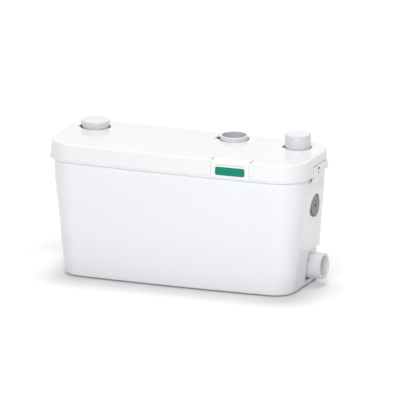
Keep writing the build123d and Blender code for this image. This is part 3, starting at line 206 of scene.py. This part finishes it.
def mouldedWhite(name, finish):
    r = newMaterial(name)
    place = r.place()
    cloud = r.noise(place, moulding["cloudScale"], 3.0)  # slow drift of the colour through the moulding
    flow = r.noise(r.stretch(place, (1.0, 1.0, 0.25)), moulding["flowScale"])
    grain = r.noise(place, moulding["grainScale"])
    scuff = r.noise(r.stretch(place, (1.0, 1.0, 6.0)), moulding["scuffScale"], 4.0, 0.7).above(*moulding["scuffFrom"])
    rounded, edge = r.softEdges(finish["edge"])
    drift = moulding["drift"]
    colour = r.mix(cloud, paint(finish["colour"], 1 - drift), paint(finish["colour"], 1 + drift))
    if "top" in finish:  # faces that look up painted paler than the sides, as painted light from above
        up = r.axes(r.node("ShaderNodeTexCoord", output="Normal"))[2].above(*moulding["litTopFrom"])
        colour = r.mix(up, colour, paint(finish["top"]))
    for spot in finish.get("spots", []):  # bores painted a tone of their own: paler inside the side pipe as painted light, dark in the clip's hole as painted shade, and the clip's dot
        colour = r.mix(r.bore(place, spot), colour, paint(spot["colour"]))
    # edges painted a paler tone: a painted highlight along every edge
    colour = r.mix(edge * moulding["edgeShare"], colour, paint(moulding["edgeTone"]))
    colour = r.mix(scuff * moulding["scuffShare"], colour, paint(moulding["scuffTone"]))
    return r.finish({
        "Base Color": colour, "Coat Weight": moulding["coat"], "Coat Roughness": moulding["coatGloss"],
        "Roughness": finish["gloss"] + flow * moulding["uneven"] + scuff * moulding["uneven"],
        "Normal": r.bump(grain * 0.3 + flow * 0.7, finish["grain"], moulding["relief"], rounded)})


# Label plate and the ink on it

plateFinish = {"dull": (0.895, 0.900, 0.895), "bright": (0.925, 0.930, 0.925), "cloudScale": 60.0,
               "edgeTone": (0.80, 0.80, 0.79), "edgeShare": 0.4, "edge": 0.0003,
               "gloss": 0.26, "uneven": 0.06, "weaveScale": 1800.0, "weave": 0.00002}
inkFinish = {"dotScale": 2200.0, "dotShare": 0.12, "dotTone": 1.5, "driftScale": 120.0, "drift": 0.10,
             "gloss": 0.30, "uneven": 0.08, "shine": 0.15, "edge": 0.0001, "relief": 0.00001}


def labelPlate(name):
    r = newMaterial(name)
    place = r.place()
    rounded, edge = r.softEdges(plateFinish["edge"])
    weave = r.noise(place, plateFinish["weaveScale"], 3.0)
    cloud = r.noise(place, plateFinish["cloudScale"])
    colour = r.mix(cloud, paint(plateFinish["dull"]), paint(plateFinish["bright"]))
    # the plate's edges painted darker: painted shade along them
    colour = r.mix(edge * plateFinish["edgeShare"], colour, paint(plateFinish["edgeTone"]))
    return r.finish({"Base Color": colour, "Roughness": plateFinish["gloss"] + weave * plateFinish["uneven"],
                     "Normal": r.bump(weave, plateFinish["weave"], 0.4, rounded)})


def printedFilm(name, colour):
    r = newMaterial(name)
    place = r.place()
    dots = r.noise(place, inkFinish["dotScale"])  # screen-printed ink, very slightly mottled
    cloud = r.noise(place, inkFinish["driftScale"])
    tone = r.mix(cloud, paint(colour, 1 - inkFinish["drift"]), paint(colour, 1 + inkFinish["drift"]))
    tone = r.mix(dots * inkFinish["dotShare"], tone, paint(colour, inkFinish["dotTone"]))
    return r.finish({"Base Color": tone, "Roughness": inkFinish["gloss"] + dots * inkFinish["uneven"],
                     "Specular IOR Level": inkFinish["shine"],
                     "Normal": r.bump(dots, inkFinish["relief"], 0.5, r.softEdges(inkFinish["edge"])[0])})


# Rubber: feet, mounts, seals and the side plug

greyRubber = {"colour": (0.270, 0.266, 0.258), "gloss": 0.50, "dusty": 0.10}
blackRubber = {"colour": (0.018, 0.018, 0.019), "gloss": 0.55, "dusty": 0.05}
plugRubber = dict(greyRubber, face={"y": 0.0099, "z": 0.1261, "radius": 0.0150},
                  dimple={"y": 0.0099, "z": 0.1261, "radius": 0.0023})
rubberSkin = {"poreScale": 1500.0, "poreFrom": (0.62, 0.06), "poreShare": 0.4, "poreTone": 0.6, "pores": 0.00006,
              "bloomScale": 90.0, "bloomFrom": (0.52, 0.2), "bloomTone": (0.42, 0.415, 0.40), "uneven": 0.12,
              "edge": 0.0005, "edgeShare": 0.25, "edgeTone": 1.6,
              "rimShadeShare": 0.75, "rimShadeTone": 0.35, "dimpleShadeTone": 0.08}


def rubber(name, finish):
    r = newMaterial(name)
    place = r.place()
    colour = finish["colour"]
    rounded, edge = r.softEdges(rubberSkin["edge"])
    pores = r.noise(place, rubberSkin["poreScale"], 4.0, 0.6)
    bloom = r.noise(place, rubberSkin["bloomScale"], 3.0)  # pale bloom of the rubber's wax
    pale = bloom.above(*rubberSkin["bloomFrom"]) * finish["dusty"]
    tone = r.mix(pale, paint(colour), paint(rubberSkin["bloomTone"]))
    tone = r.mix(edge * rubberSkin["edgeShare"], tone, paint(colour, rubberSkin["edgeTone"]))
    pitted = pores.above(*rubberSkin["poreFrom"]) * rubberSkin["poreShare"]
    tone = r.mix(pitted, tone, paint(colour, rubberSkin["poreTone"]))
    if "face" in finish:  # painted shade round the rim and in the dimple of the gate mark
        rim = 1 - r.bore(place, finish["face"])
        tone = r.mix(rim * rubberSkin["rimShadeShare"], tone, paint(colour, rubberSkin["rimShadeTone"]))
        tone = r.mix(r.bore(place, finish["dimple"]), tone, paint(colour, rubberSkin["dimpleShadeTone"]))
    return r.finish({"Base Color": tone, "Roughness": finish["gloss"] + bloom * rubberSkin["uneven"],
                     "Normal": r.bump(pores, rubberSkin["pores"], 0.5, rounded)})


# Engineering plastics: spark-eroded grain on covers and valves, glass fibre in the pump

coverGrey = {"colour": (0.36, 0.38, 0.40), "gloss": 0.42, "grainScale": 1300.0, "grain": 0.00006}
valveGrey = {"colour": (0.075, 0.085, 0.095), "gloss": 0.40, "grainScale": 1500.0, "grain": 0.00005}
switchBlack = {"colour": (0.020, 0.020, 0.022), "gloss": 0.45, "grainScale": 1700.0, "grain": 0.00006}
sparked = {"cloudScale": 25.0, "drift": 0.08, "edge": 0.0005, "edgeShare": 0.5, "edgeTone": 1.35,
           "pitFrom": (0.60, 0.08), "pitShare": 0.18, "pitTone": 0.7, "uneven": 0.15}
pumpNylon = {"colour": (0.032, 0.034, 0.037), "fleckScale": 1500.0, "fleckFrom": (0.63, 0.04), "fleckShare": 0.30,
             "fleckTone": (0.30, 0.30, 0.29), "swirlScale": 45.0, "swirl": (0.85, 1.25), "edge": 0.0006,
             "edgeShare": 0.4, "edgeTone": 2.2, "gloss": 0.42, "uneven": 0.16, "relief": 0.00005}


def sparkedPlastic(name, finish):
    r = newMaterial(name)
    place = r.place()
    colour = finish["colour"]
    rounded, edge = r.softEdges(sparked["edge"])
    grain = r.noise(place, finish["grainScale"], 3.0, 0.6)
    cloud = r.noise(place, sparked["cloudScale"], 3.0)
    tone = r.mix(cloud, paint(colour, 1 - sparked["drift"]), paint(colour, 1 + sparked["drift"]))
    tone = r.mix(edge * sparked["edgeShare"], tone, paint(colour, sparked["edgeTone"]))
    pits = grain.above(*sparked["pitFrom"]) * sparked["pitShare"]
    tone = r.mix(pits, tone, paint(colour, sparked["pitTone"]))
    return r.finish({"Base Color": tone, "Roughness": finish["gloss"] + grain * sparked["uneven"],
                     "Normal": r.bump(grain, finish["grain"], 0.6, rounded)})


def fibreFilled(name, finish):  # short glass fibres show as pale flecks along the flow
    r = newMaterial(name)
    place = r.place()
    colour = finish["colour"]
    rounded, edge = r.softEdges(finish["edge"])
    fibres = r.noise(r.stretch(place, (1.0, 1.0, 0.22)), finish["fleckScale"], 3.0, 0.7)
    swirl = r.noise(place, finish["swirlScale"], 4.0, 0.6)
    tone = r.mix(swirl, paint(colour, finish["swirl"][0]), paint(colour, finish["swirl"][1]))
    flecks = fibres.above(*finish["fleckFrom"]) * finish["fleckShare"]
    tone = r.mix(flecks, tone, paint(finish["fleckTone"]))
    tone = r.mix(edge * finish["edgeShare"], tone, paint(colour, finish["edgeTone"]))
    return r.finish({"Base Color": tone, "Roughness": finish["gloss"] + swirl * finish["uneven"],
                     "Normal": r.bump(fibres, finish["relief"], 0.5, rounded)})


# Motor: enamelled housing, turned steel, stator laminations and windings

motorEnamel = {"colour": (0.020, 0.032, 0.050), "bareTone": (0.50, 0.50, 0.49), "cloud": (0.9, 1.15),
               "cloudScale": 30.0, "chipScale": 700.0, "chipFrom": (0.47, 0.05), "bareMetal": 0.9,
               "peelScale": 420.0, "peel": 0.00008, "edge": 0.0006, "gloss": 0.32, "uneven": 0.1, "coat": 0.3}
steelFinish = {"dull": (0.56, 0.56, 0.57), "bright": (0.68, 0.68, 0.68), "edgeTone": (0.82, 0.82, 0.82),
               "edgeShare": 0.5, "edge": 0.0003, "markScale": 5200.0, "marks": 0.00001, "smearScale": 110.0,
               "gloss": 0.20, "markGloss": 0.16, "smearGloss": 0.08}
statorFinish = {"sheet": 0.0005, "gap": (0.10, 0.10, 0.105), "metal": (0.30, 0.30, 0.31),
                "varnishTone": (0.22, 0.12, 0.05), "varnishScale": 60.0, "varnishFrom": (0.5, 0.2),
                "varnishShare": 0.35, "scaleScale": 240.0, "gloss": 0.36, "uneven": 0.2, "metallic": 0.8,
                "relief": 0.00008, "edge": 0.0002}
coilFinish = {"x": -0.048, "y": 0.006, "strand": 0.0009, "ties": 12, "wobbleScale": 160.0, "wobble": 0.0016,
              "dark": (0.16, 0.045, 0.018), "bright": (0.62, 0.24, 0.09), "lace": (0.62, 0.58, 0.46),
              "strandFrom": (-0.1, 0.5), "laceFrom": (0.94, 0.03), "metallic": 0.65, "gloss": 0.3,
              "laceGloss": 0.4, "coat": 0.4, "relief": 0.00025, "edge": 0.0004}


def enamel(name, finish):  # dark enamel with orange peel, rubbed through on the corners
    r = newMaterial(name)
    place = r.place()
    colour = finish["colour"]
    rounded, edge = r.softEdges(finish["edge"])
    peel = r.noise(place, finish["peelScale"], 1.0)
    chips = r.noise(place, finish["chipScale"], 4.0, 0.7).above(*finish["chipFrom"])
    bare = edge * chips
    cloud = r.noise(place, finish["cloudScale"])
    tone = r.mix(cloud, paint(colour, finish["cloud"][0]), paint(colour, finish["cloud"][1]))
    tone = r.mix(bare, tone, paint(finish["bareTone"]))
    return r.finish({"Base Color": tone, "Metallic": bare * finish["bareMetal"], "Coat Weight": finish["coat"],
                     "Roughness": finish["gloss"] + cloud * finish["uneven"],
                     "Normal": r.bump(peel, finish["peel"], 0.4, rounded)})


def turnedSteel(name, finish):
    r = newMaterial(name)
    place = r.place()
    rounded, edge = r.softEdges(finish["edge"])
    marks = r.noise(r.stretch(place, (0.15, 0.15, 1.0)), finish["markScale"])
    smears = r.noise(place, finish["smearScale"], 3.0)
    tone = r.mix(smears, paint(finish["dull"]), paint(finish["bright"]))
    tone = r.mix(edge * finish["edgeShare"], tone, paint(finish["edgeTone"]))
    gloss = finish["gloss"] + marks * finish["markGloss"] + smears * finish["smearGloss"]
    return r.finish({"Base Color": tone, "Metallic": 1.0, "Roughness": gloss,
                     "Normal": r.bump(marks, finish["marks"], 0.5, rounded)})


def laminations(name, finish):
    r = newMaterial(name)
    place = r.place()
    z = r.axes(place)[2]
    layers = (z * (2 * math.pi / finish["sheet"])).sine()
    scale = r.noise(place, finish["scaleScale"], 4.0)
    varnish = r.noise(place, finish["varnishScale"], 3.0).above(*finish["varnishFrom"])
    tone = r.mix(layers.above(0.0, 0.8), paint(finish["gap"]), paint(finish["metal"]))
    tone = r.mix(varnish * finish["varnishShare"], tone, paint(finish["varnishTone"]))
    return r.finish({"Base Color": tone, "Metallic": finish["metallic"],
                     "Roughness": finish["gloss"] + scale * finish["uneven"],
                     "Normal": r.bump(layers, finish["relief"], 0.6, r.softEdges(finish["edge"])[0])})


def windings(name, finish):  # rings of wire about the motor's axis, laced with cord
    r = newMaterial(name)
    place = r.place()
    x, y, z = r.axes(place)
    x, y = x - finish["x"], y - finish["y"]
    wobble = r.noise(place, finish["wobbleScale"]) * finish["wobble"]
    turn = 2 * math.pi / finish["strand"]
    strands = ((r.around(x, y) + wobble) * turn).sine() * 0.5 + ((z + wobble) * turn).sine() * 0.5
    angle = x.maths("ARCTAN2", y, x)
    lacing = (angle * finish["ties"]).sine().above(*finish["laceFrom"])
    # the tone between the strands is painted dark: painted shade in the grooves between the wires
    tone = r.mix(strands.above(*finish["strandFrom"]), paint(finish["dark"]), paint(finish["bright"]))
    tone = r.mix(lacing, tone, paint(finish["lace"]))
    relief = r.bump(strands + lacing * 2, finish["relief"], 0.8, r.softEdges(finish["edge"])[0])
    return r.finish({"Base Color": tone, "Metallic": (1 - lacing) * finish["metallic"],
                     "Roughness": finish["gloss"] + lacing * finish["laceGloss"],
                     "Coat Weight": finish["coat"], "Normal": relief})


# Control board and carbon filter

boardFinish = {"top": 0.1918, "cansMiddle": -0.0640, "cansHalf": 0.0042, "relayFrom": -0.0605,
               "trackScale": 260.0, "trackFrom": (0.045, 0.012), "track": (0.16, 0.30, 0.10),
               "mask": (0.012, 0.10, 0.055), "lacquer": (0.02, 0.16, 0.09), "lacquerScale": 300.0,
               "lacquerShare": 0.2, "transformer": (0.02, 0.08, 0.25), "relay": (0.55, 0.42, 0.10),
               "cans": (0.015, 0.015, 0.018), "speckTone": (0.5, 0.5, 0.5), "speckScale": 1600.0,
               "gloss": 0.25, "speckle": 0.15, "partGloss": 0.12, "relief": 0.00006, "edge": 0.0003}
carbonFinish = {"gap": (0.055, 0.055, 0.055), "grain": (0.008, 0.008, 0.008), "dust": (0.20, 0.20, 0.20),
                "grainScale": 620.0, "grainFrom": (0.35, 0.25), "dustScale": 2400.0, "dustFrom": (0.66, 0.03),
                "dustShare": 0.4, "gloss": 0.75, "grainGloss": 0.2, "relief": 0.0005, "edge": 0.0003}


def circuitBoard(name, finish):
    r = newMaterial(name)
    place = r.place()
    x, y, z = r.axes(place)
    raised = z.above(finish["top"], 0.0001)  # relay, transformer and cans stand on the board
    cans = 1 - (x - finish["cansMiddle"]).size().above(finish["cansHalf"], 0.0002)
    relay = x.above(finish["relayFrom"], 0.0003)
    flat = r.stretch(place, (1.0, 1.0, 0.0))
    tracks = r.cells(flat, finish["trackScale"], "DISTANCE_TO_EDGE").above(*finish["trackFrom"])
    lacquer = r.noise(place, finish["lacquerScale"], 3.0)
    green = r.mix(tracks, paint(finish["track"]), paint(finish["mask"]))
    green = r.mix(lacquer * finish["lacquerShare"], green, paint(finish["lacquer"]))
    parts = r.mix(relay, paint(finish["transformer"]), paint(finish["relay"]))
    parts = r.mix(cans, parts, paint(finish["cans"]))
    speck = r.noise(place, finish["speckScale"], 3.0)
    parts = r.mix(speck * finish["speckle"], parts, paint(finish["speckTone"]))
    relief = r.bump(tracks * 0.5 + speck * 0.2, finish["relief"], 0.5, r.softEdges(finish["edge"])[0])
    return r.finish({"Base Color": r.mix(raised, green, parts), "Normal": relief,
                     "Roughness": finish["gloss"] + speck * finish["speckle"] + raised * finish["partGloss"]})


def charcoal(name, finish):  # carbon granules bonded into a cartridge
    r = newMaterial(name)
    place = r.place()
    grains = r.cells(place, finish["grainScale"])
    dust = r.noise(place, finish["dustScale"], 3.0).above(*finish["dustFrom"])
    tone = r.mix(grains.above(*finish["grainFrom"]), paint(finish["gap"]), paint(finish["grain"]))
    tone = r.mix(dust * finish["dustShare"], tone, paint(finish["dust"]))
    return r.finish({"Base Color": tone, "Roughness": finish["gloss"] - grains * finish["grainGloss"],
                     "Normal": r.bump(1 - grains, finish["relief"], 0.9, r.softEdges(finish["edge"])[0])})


finishes = {  # the record's slots, then three finishes for single nodes
    "casing_white": mouldedWhite("tankWhite", tankFinish),
    "lid_white": mouldedWhite("lidWhite", lidFinish),
    "port_white": mouldedWhite("portWhite", portFinish),
    "label_print": labelPlate("labelPlate"),
    "rubber_grey": rubber("greyRubber", greyRubber),
    "rubber_black": rubber("blackRubber", blackRubber),
    "cover_grey": sparkedPlastic("coverGrey", coverGrey),
    "pump_plastic": fibreFilled("pumpPlastic", pumpNylon),
    "valve_plastic": sparkedPlastic("valvePlastic", valveGrey),
    "motor_paint": enamel("motorEnamel", motorEnamel),
    "steel": turnedSteel("turnedSteel", steelFinish),
    "lamination": laminations("laminations", statorFinish),
    "copper": windings("copperWindings", coilFinish),
    "board_green": circuitBoard("circuitBoard", boardFinish),
    "switch_black": sparkedPlastic("switchBlack", switchBlack),
    "filter_charcoal": charcoal("charcoal", carbonFinish),
    "side_pipe": mouldedWhite("sidePipeWhite", pipeFinish),
    "clip": mouldedWhite("clipWhite", clipFinish),
    "plug": rubber("plugRubber", plugRubber),
}
finishOf = dict(slotOf, side_inlet_pipe="side_pipe", side_inlet_plug="plug",
                latch_right="clip", latch_left="clip")
for name, piece in nodes.items():
    piece.data.materials.clear()
    piece.data.materials.append(finishes[finishOf[name]])
print("materials made:", len(finishes))


# Printed films, laid on the label plate's own surface

films = {"thick": 0.00008, "lift": 0.00001, "step": 0.0008, "cornerSteps": 8, "from": -0.2}
greenPanel = {"middle": (0.0945, 0.18825), "half": (0.0232, 0.0063), "round": 0.0030,
              "colour": (0.0060, 0.245, 0.168)}
amberLine = {"middle": (0.0945, 0.1976), "half": (0.0232, 0.00055), "round": 0.00045,
             "colour": (0.73, 0.60, 0.38)}


def treeOf(piece):
    mesh = piece.data
    return BVHTree.FromPolygons([v.co.copy() for v in mesh.vertices], [p.vertices[:] for p in mesh.polygons])


def roundedRing(half, radius):  # corner points of a rounded oblong
    wide, tall = half[0] - radius, half[1] - radius
    steps = films["cornerSteps"]
    ring = []
    for corner, (sx, sz) in enumerate(((1, 1), (-1, 1), (-1, -1), (1, -1))):
        for step in range(steps + 1):
            angle = math.pi / 2 * (corner + step / steps)
            ring.append((sx * wide + radius * math.cos(angle), sz * tall + radius * math.sin(angle)))
    return ring


def denser(ring, step):  # more points on the long sides, so that the film follows the bowed front
    dense = []
    for index, first in enumerate(ring):
        second = ring[(index + 1) % len(ring)]
        count = max(1, round(math.dist(first, second) / step))
        dense += [(first[0] + (second[0] - first[0]) * i / count,
                   first[1] + (second[1] - first[1]) * i / count) for i in range(count)]
    return dense


def layFilm(name, design, plate):
    half, middle = design["half"], design["middle"]
    outer = denser(roundedRing(half, design["round"]), films["step"])
    rings = [outer]
    layers = max(2, round(half[1] / films["step"] / 2))
    for layer in range(1, layers):
        pull = layer / layers
        wide = half[0] - half[1] * pull
        rings.append([(x * wide / half[0], z * (1 - pull)) for x, z in outer])
    points = []
    for lift in (films["thick"] + films["lift"], films["lift"]):  # the printed face, then the back
        for x, z in (point for ring in rings for point in ring):
            start = Vector((middle[0] + x, films["from"], middle[1] + z))
            spot = plate.ray_cast(start, Vector((0, 1, 0)))[0]
            points.append(spot + Vector((0, -lift, 0)))
    count = len(outer)
    back = len(rings) * count
    faces = []
    for side, flip in ((0, False), (back, True)):
        for level in range(len(rings) - 1):
            for i in range(count):
                a = side + level * count + i
                b = side + level * count + (i + 1) % count
                face = (a, b, b + count, a + count)
                faces.append(face[::-1] if flip else face)
        last = side + back - count
        face = tuple(range(last, last + count))
        faces.append(face[::-1] if flip else face)
    faces += [(i, back + i, back + (i + 1) % count, (i + 1) % count) for i in range(count)]
    piece = addPiece(name, points, faces, printedFilm(name + "Ink", design["colour"]))
    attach(piece, "lid")


plate = treeOf(nodes["label_plate"])
layFilm("green_panel", greenPanel, plate)
layFilm("amber_line", amberLine, plate)
print("label films laid on the plate")


# The rubber diaphragm in two pieces, so that its middle rises with the plunger that it pushes.
# The ridge under the middle is deep enough that the middle never leaves the clamped rim.

diaphragm = {"split": 0.0136, "ridge": 0.0016, "depth": 0.0008, "slit": 0.00005, "corner": 0.00012, "turns": 96}


def turned(profile, centre, turns):  # points and faces of an outline turned about an upright axis
    ring = [point for point in profile if point[0] > 0]
    count = len(ring)
    capped = count < len(profile)  # the outline starts and ends on the axis
    points, faces = [], []
    for turn in range(turns):
        angle = 2 * math.pi * turn / turns
        points += [(centre[0] + r * math.cos(angle), centre[1] + r * math.sin(angle), z) for r, z in ring]
    for turn in range(turns):
        here, there = turn * count, (turn + 1) % turns * count
        for k in range(count - 1 if capped else count):
            after = (k + 1) % count
            faces.append((here + k, there + k, there + after, here + after))
    if capped:
        for end, k in ((0, 0), (-1, count - 1)):
            tip = len(points)
            points.append((centre[0], centre[1], profile[end][1]))
            for turn in range(turns):
                face = (tip, (turn + 1) % turns * count + k, turn * count + k)
                faces.append(face if end == 0 else face[::-1])
    return points, faces


def makeDiaphragm():
    low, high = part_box("diaphragm")
    centre = ((low[0] + high[0]) / 2, (low[1] + high[1]) / 2)
    outer = (high[0] - low[0]) / 2
    foot, under, top = low[2], low[2] + diaphragm["depth"], high[2]
    split, soft = diaphragm["split"], diaphragm["corner"]
    inner, rim = split - diaphragm["ridge"], split + diaphragm["slit"]
    middle = [(0, under), (inner, under), (inner, foot + soft), (inner + soft, foot), (split - soft, foot),
              (split, foot + soft), (split, top - soft), (split - soft, top), (0, top)]
    clamped = [(rim, under), (outer - soft, under), (outer, under + soft), (outer, top - soft),
               (outer - soft, top), (rim, top)]
    slot = slotOf["diaphragm"]
    for name, profile, body in (("diaphragm_middle", middle, "plunger"), ("diaphragm_rim", clamped, "tank")):
        piece = addPiece(name, *turned(profile, centre, diaphragm["turns"]), finishes[slot])
        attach(piece, body)
        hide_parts("diaphragm")


makeDiaphragm()
print("diaphragm made in two pieces")


# Floor, light and camera

studio = {"floorSize": 4.0, "paper": 0.92, "paperBounce": 0.78, "mottle": 0.003, "mottleScale": 400.0,
          "glow": 0.025, "farGlow": 0.35, "edge": 0.36, "edgeSoft": 0.08, "squash": 1.5, "fill": 0.39,
          "aim": (0, 0, 0.1)}
softbox = {"from": (0.27, -0.86, 0.44), "away": 2.2, "wide": 1.0, "tall": 0.30, "light": 1.33}
skylight = {"from": (-0.06, 0.18, 0.97), "away": 2.0, "light": 1.56, "angle": 24.0}
camera = {"azimuth": 21.5, "elevation": 15.2, "width": 0.58737, "aside": 0.016593, "up": 0.113017,
          "away": 2.0, "sight": 20.0}
white = (1, 1, 1, 1)


def makeFloor():
    r = newMaterial("studioPaper")
    seen = r.seen()
    shade = r.noise(r.place(), studio["mottleScale"], 3.0)
    paper, bounce = (studio["paper"],) * 3, (studio["paperBounce"],) * 3
    tone = r.mix(shade, paint(paper, 1 - studio["mottle"]), paint(paper, 1 + studio["mottle"]))
    matt = r.node("ShaderNodeBsdfDiffuse", None, {"Color": r.mix(seen, paint(bounce), tone)})
    x, y, z = r.axes(r.place())
    far = r.around(x, y * studio["squash"]).above(studio["edge"], studio["edgeSoft"])  # plain white further out
    strength = seen * (studio["glow"] + far * studio["farGlow"])
    glow = r.node("ShaderNodeEmission", None, {"Color": white, "Strength": strength})
    material = r.show(r.node("ShaderNodeAddShader", None, {0: matt, 1: glow}))
    reach = studio["floorSize"]
    corners = [(-reach, -reach, 0), (reach, -reach, 0), (reach, reach, 0), (-reach, reach, 0)]
    addPiece("studioFloor", corners, [(0, 1, 2, 3)], material)


def makeWorld():  # white where the camera looks, and an even fill on the object
    world = bpy.data.worlds.new("studioAir")
    bpy.context.scene.world = world
    r = Recipe(world)
    fill = r.node("ShaderNodeBackground", None, {"Color": white, "Strength": studio["fill"]})
    backdrop = r.node("ShaderNodeBackground", None, {"Color": white})
    r.show(r.node("ShaderNodeMixShader", None, {0: r.seen(), 1: fill, 2: backdrop}), "ShaderNodeOutputWorld")


def hangLamp(light, design):
    lamp = bpy.data.objects.new(light.name, light)
    bpy.context.scene.collection.objects.link(lamp)
    toLamp = Vector(design["from"]).normalized()
    lamp.rotation_mode = "QUATERNION"
    lamp.rotation_quaternion = toLamp.to_track_quat("Z", "Y")
    lamp.location = Vector(studio["aim"]) + toLamp * design["away"]
    return lamp


def makeLamps():
    sky = bpy.data.lights.new("skylight", "SUN")
    sky.energy = skylight["light"]
    sky.angle = math.radians(skylight["angle"])
    hangLamp(sky, skylight).visible_glossy = False  # no glare on the lid from above
    box = bpy.data.lights.new("softbox", "AREA")
    box.shape = "RECTANGLE"
    box.size = softbox["wide"]
    box.size_y = softbox["tall"]
    box.energy = softbox["light"] * math.pi * softbox["away"] ** 2
    hangLamp(box, softbox)


def makeCamera():
    a, e = math.radians(camera["azimuth"]), math.radians(camera["elevation"])
    right = Vector((math.cos(a), math.sin(a), 0))
    up = Vector((-math.sin(a) * math.sin(e), math.cos(a) * math.sin(e), math.cos(e)))
    back = Vector((math.sin(a) * math.cos(e), -math.cos(a) * math.cos(e), math.sin(e)))
    lens = bpy.data.cameras.new("photoCamera")
    lens.type = "ORTHO"
    lens.ortho_scale = camera["width"]
    lens.clip_end = camera["sight"]
    holder = bpy.data.objects.new("photoCamera", lens)
    bpy.context.scene.collection.objects.link(holder)
    spot = back * camera["away"] + right * camera["aside"] + up * camera["up"]
    holder.matrix_world = Matrix.Translation(spot) @ Matrix((right, up, back)).transposed().to_4x4()
    bpy.context.scene.camera = holder


makeFloor()
makeWorld()
makeLamps()
makeCamera()
bpy.context.scene.view_settings.view_transform = "Standard"
print("floor, light and camera set")
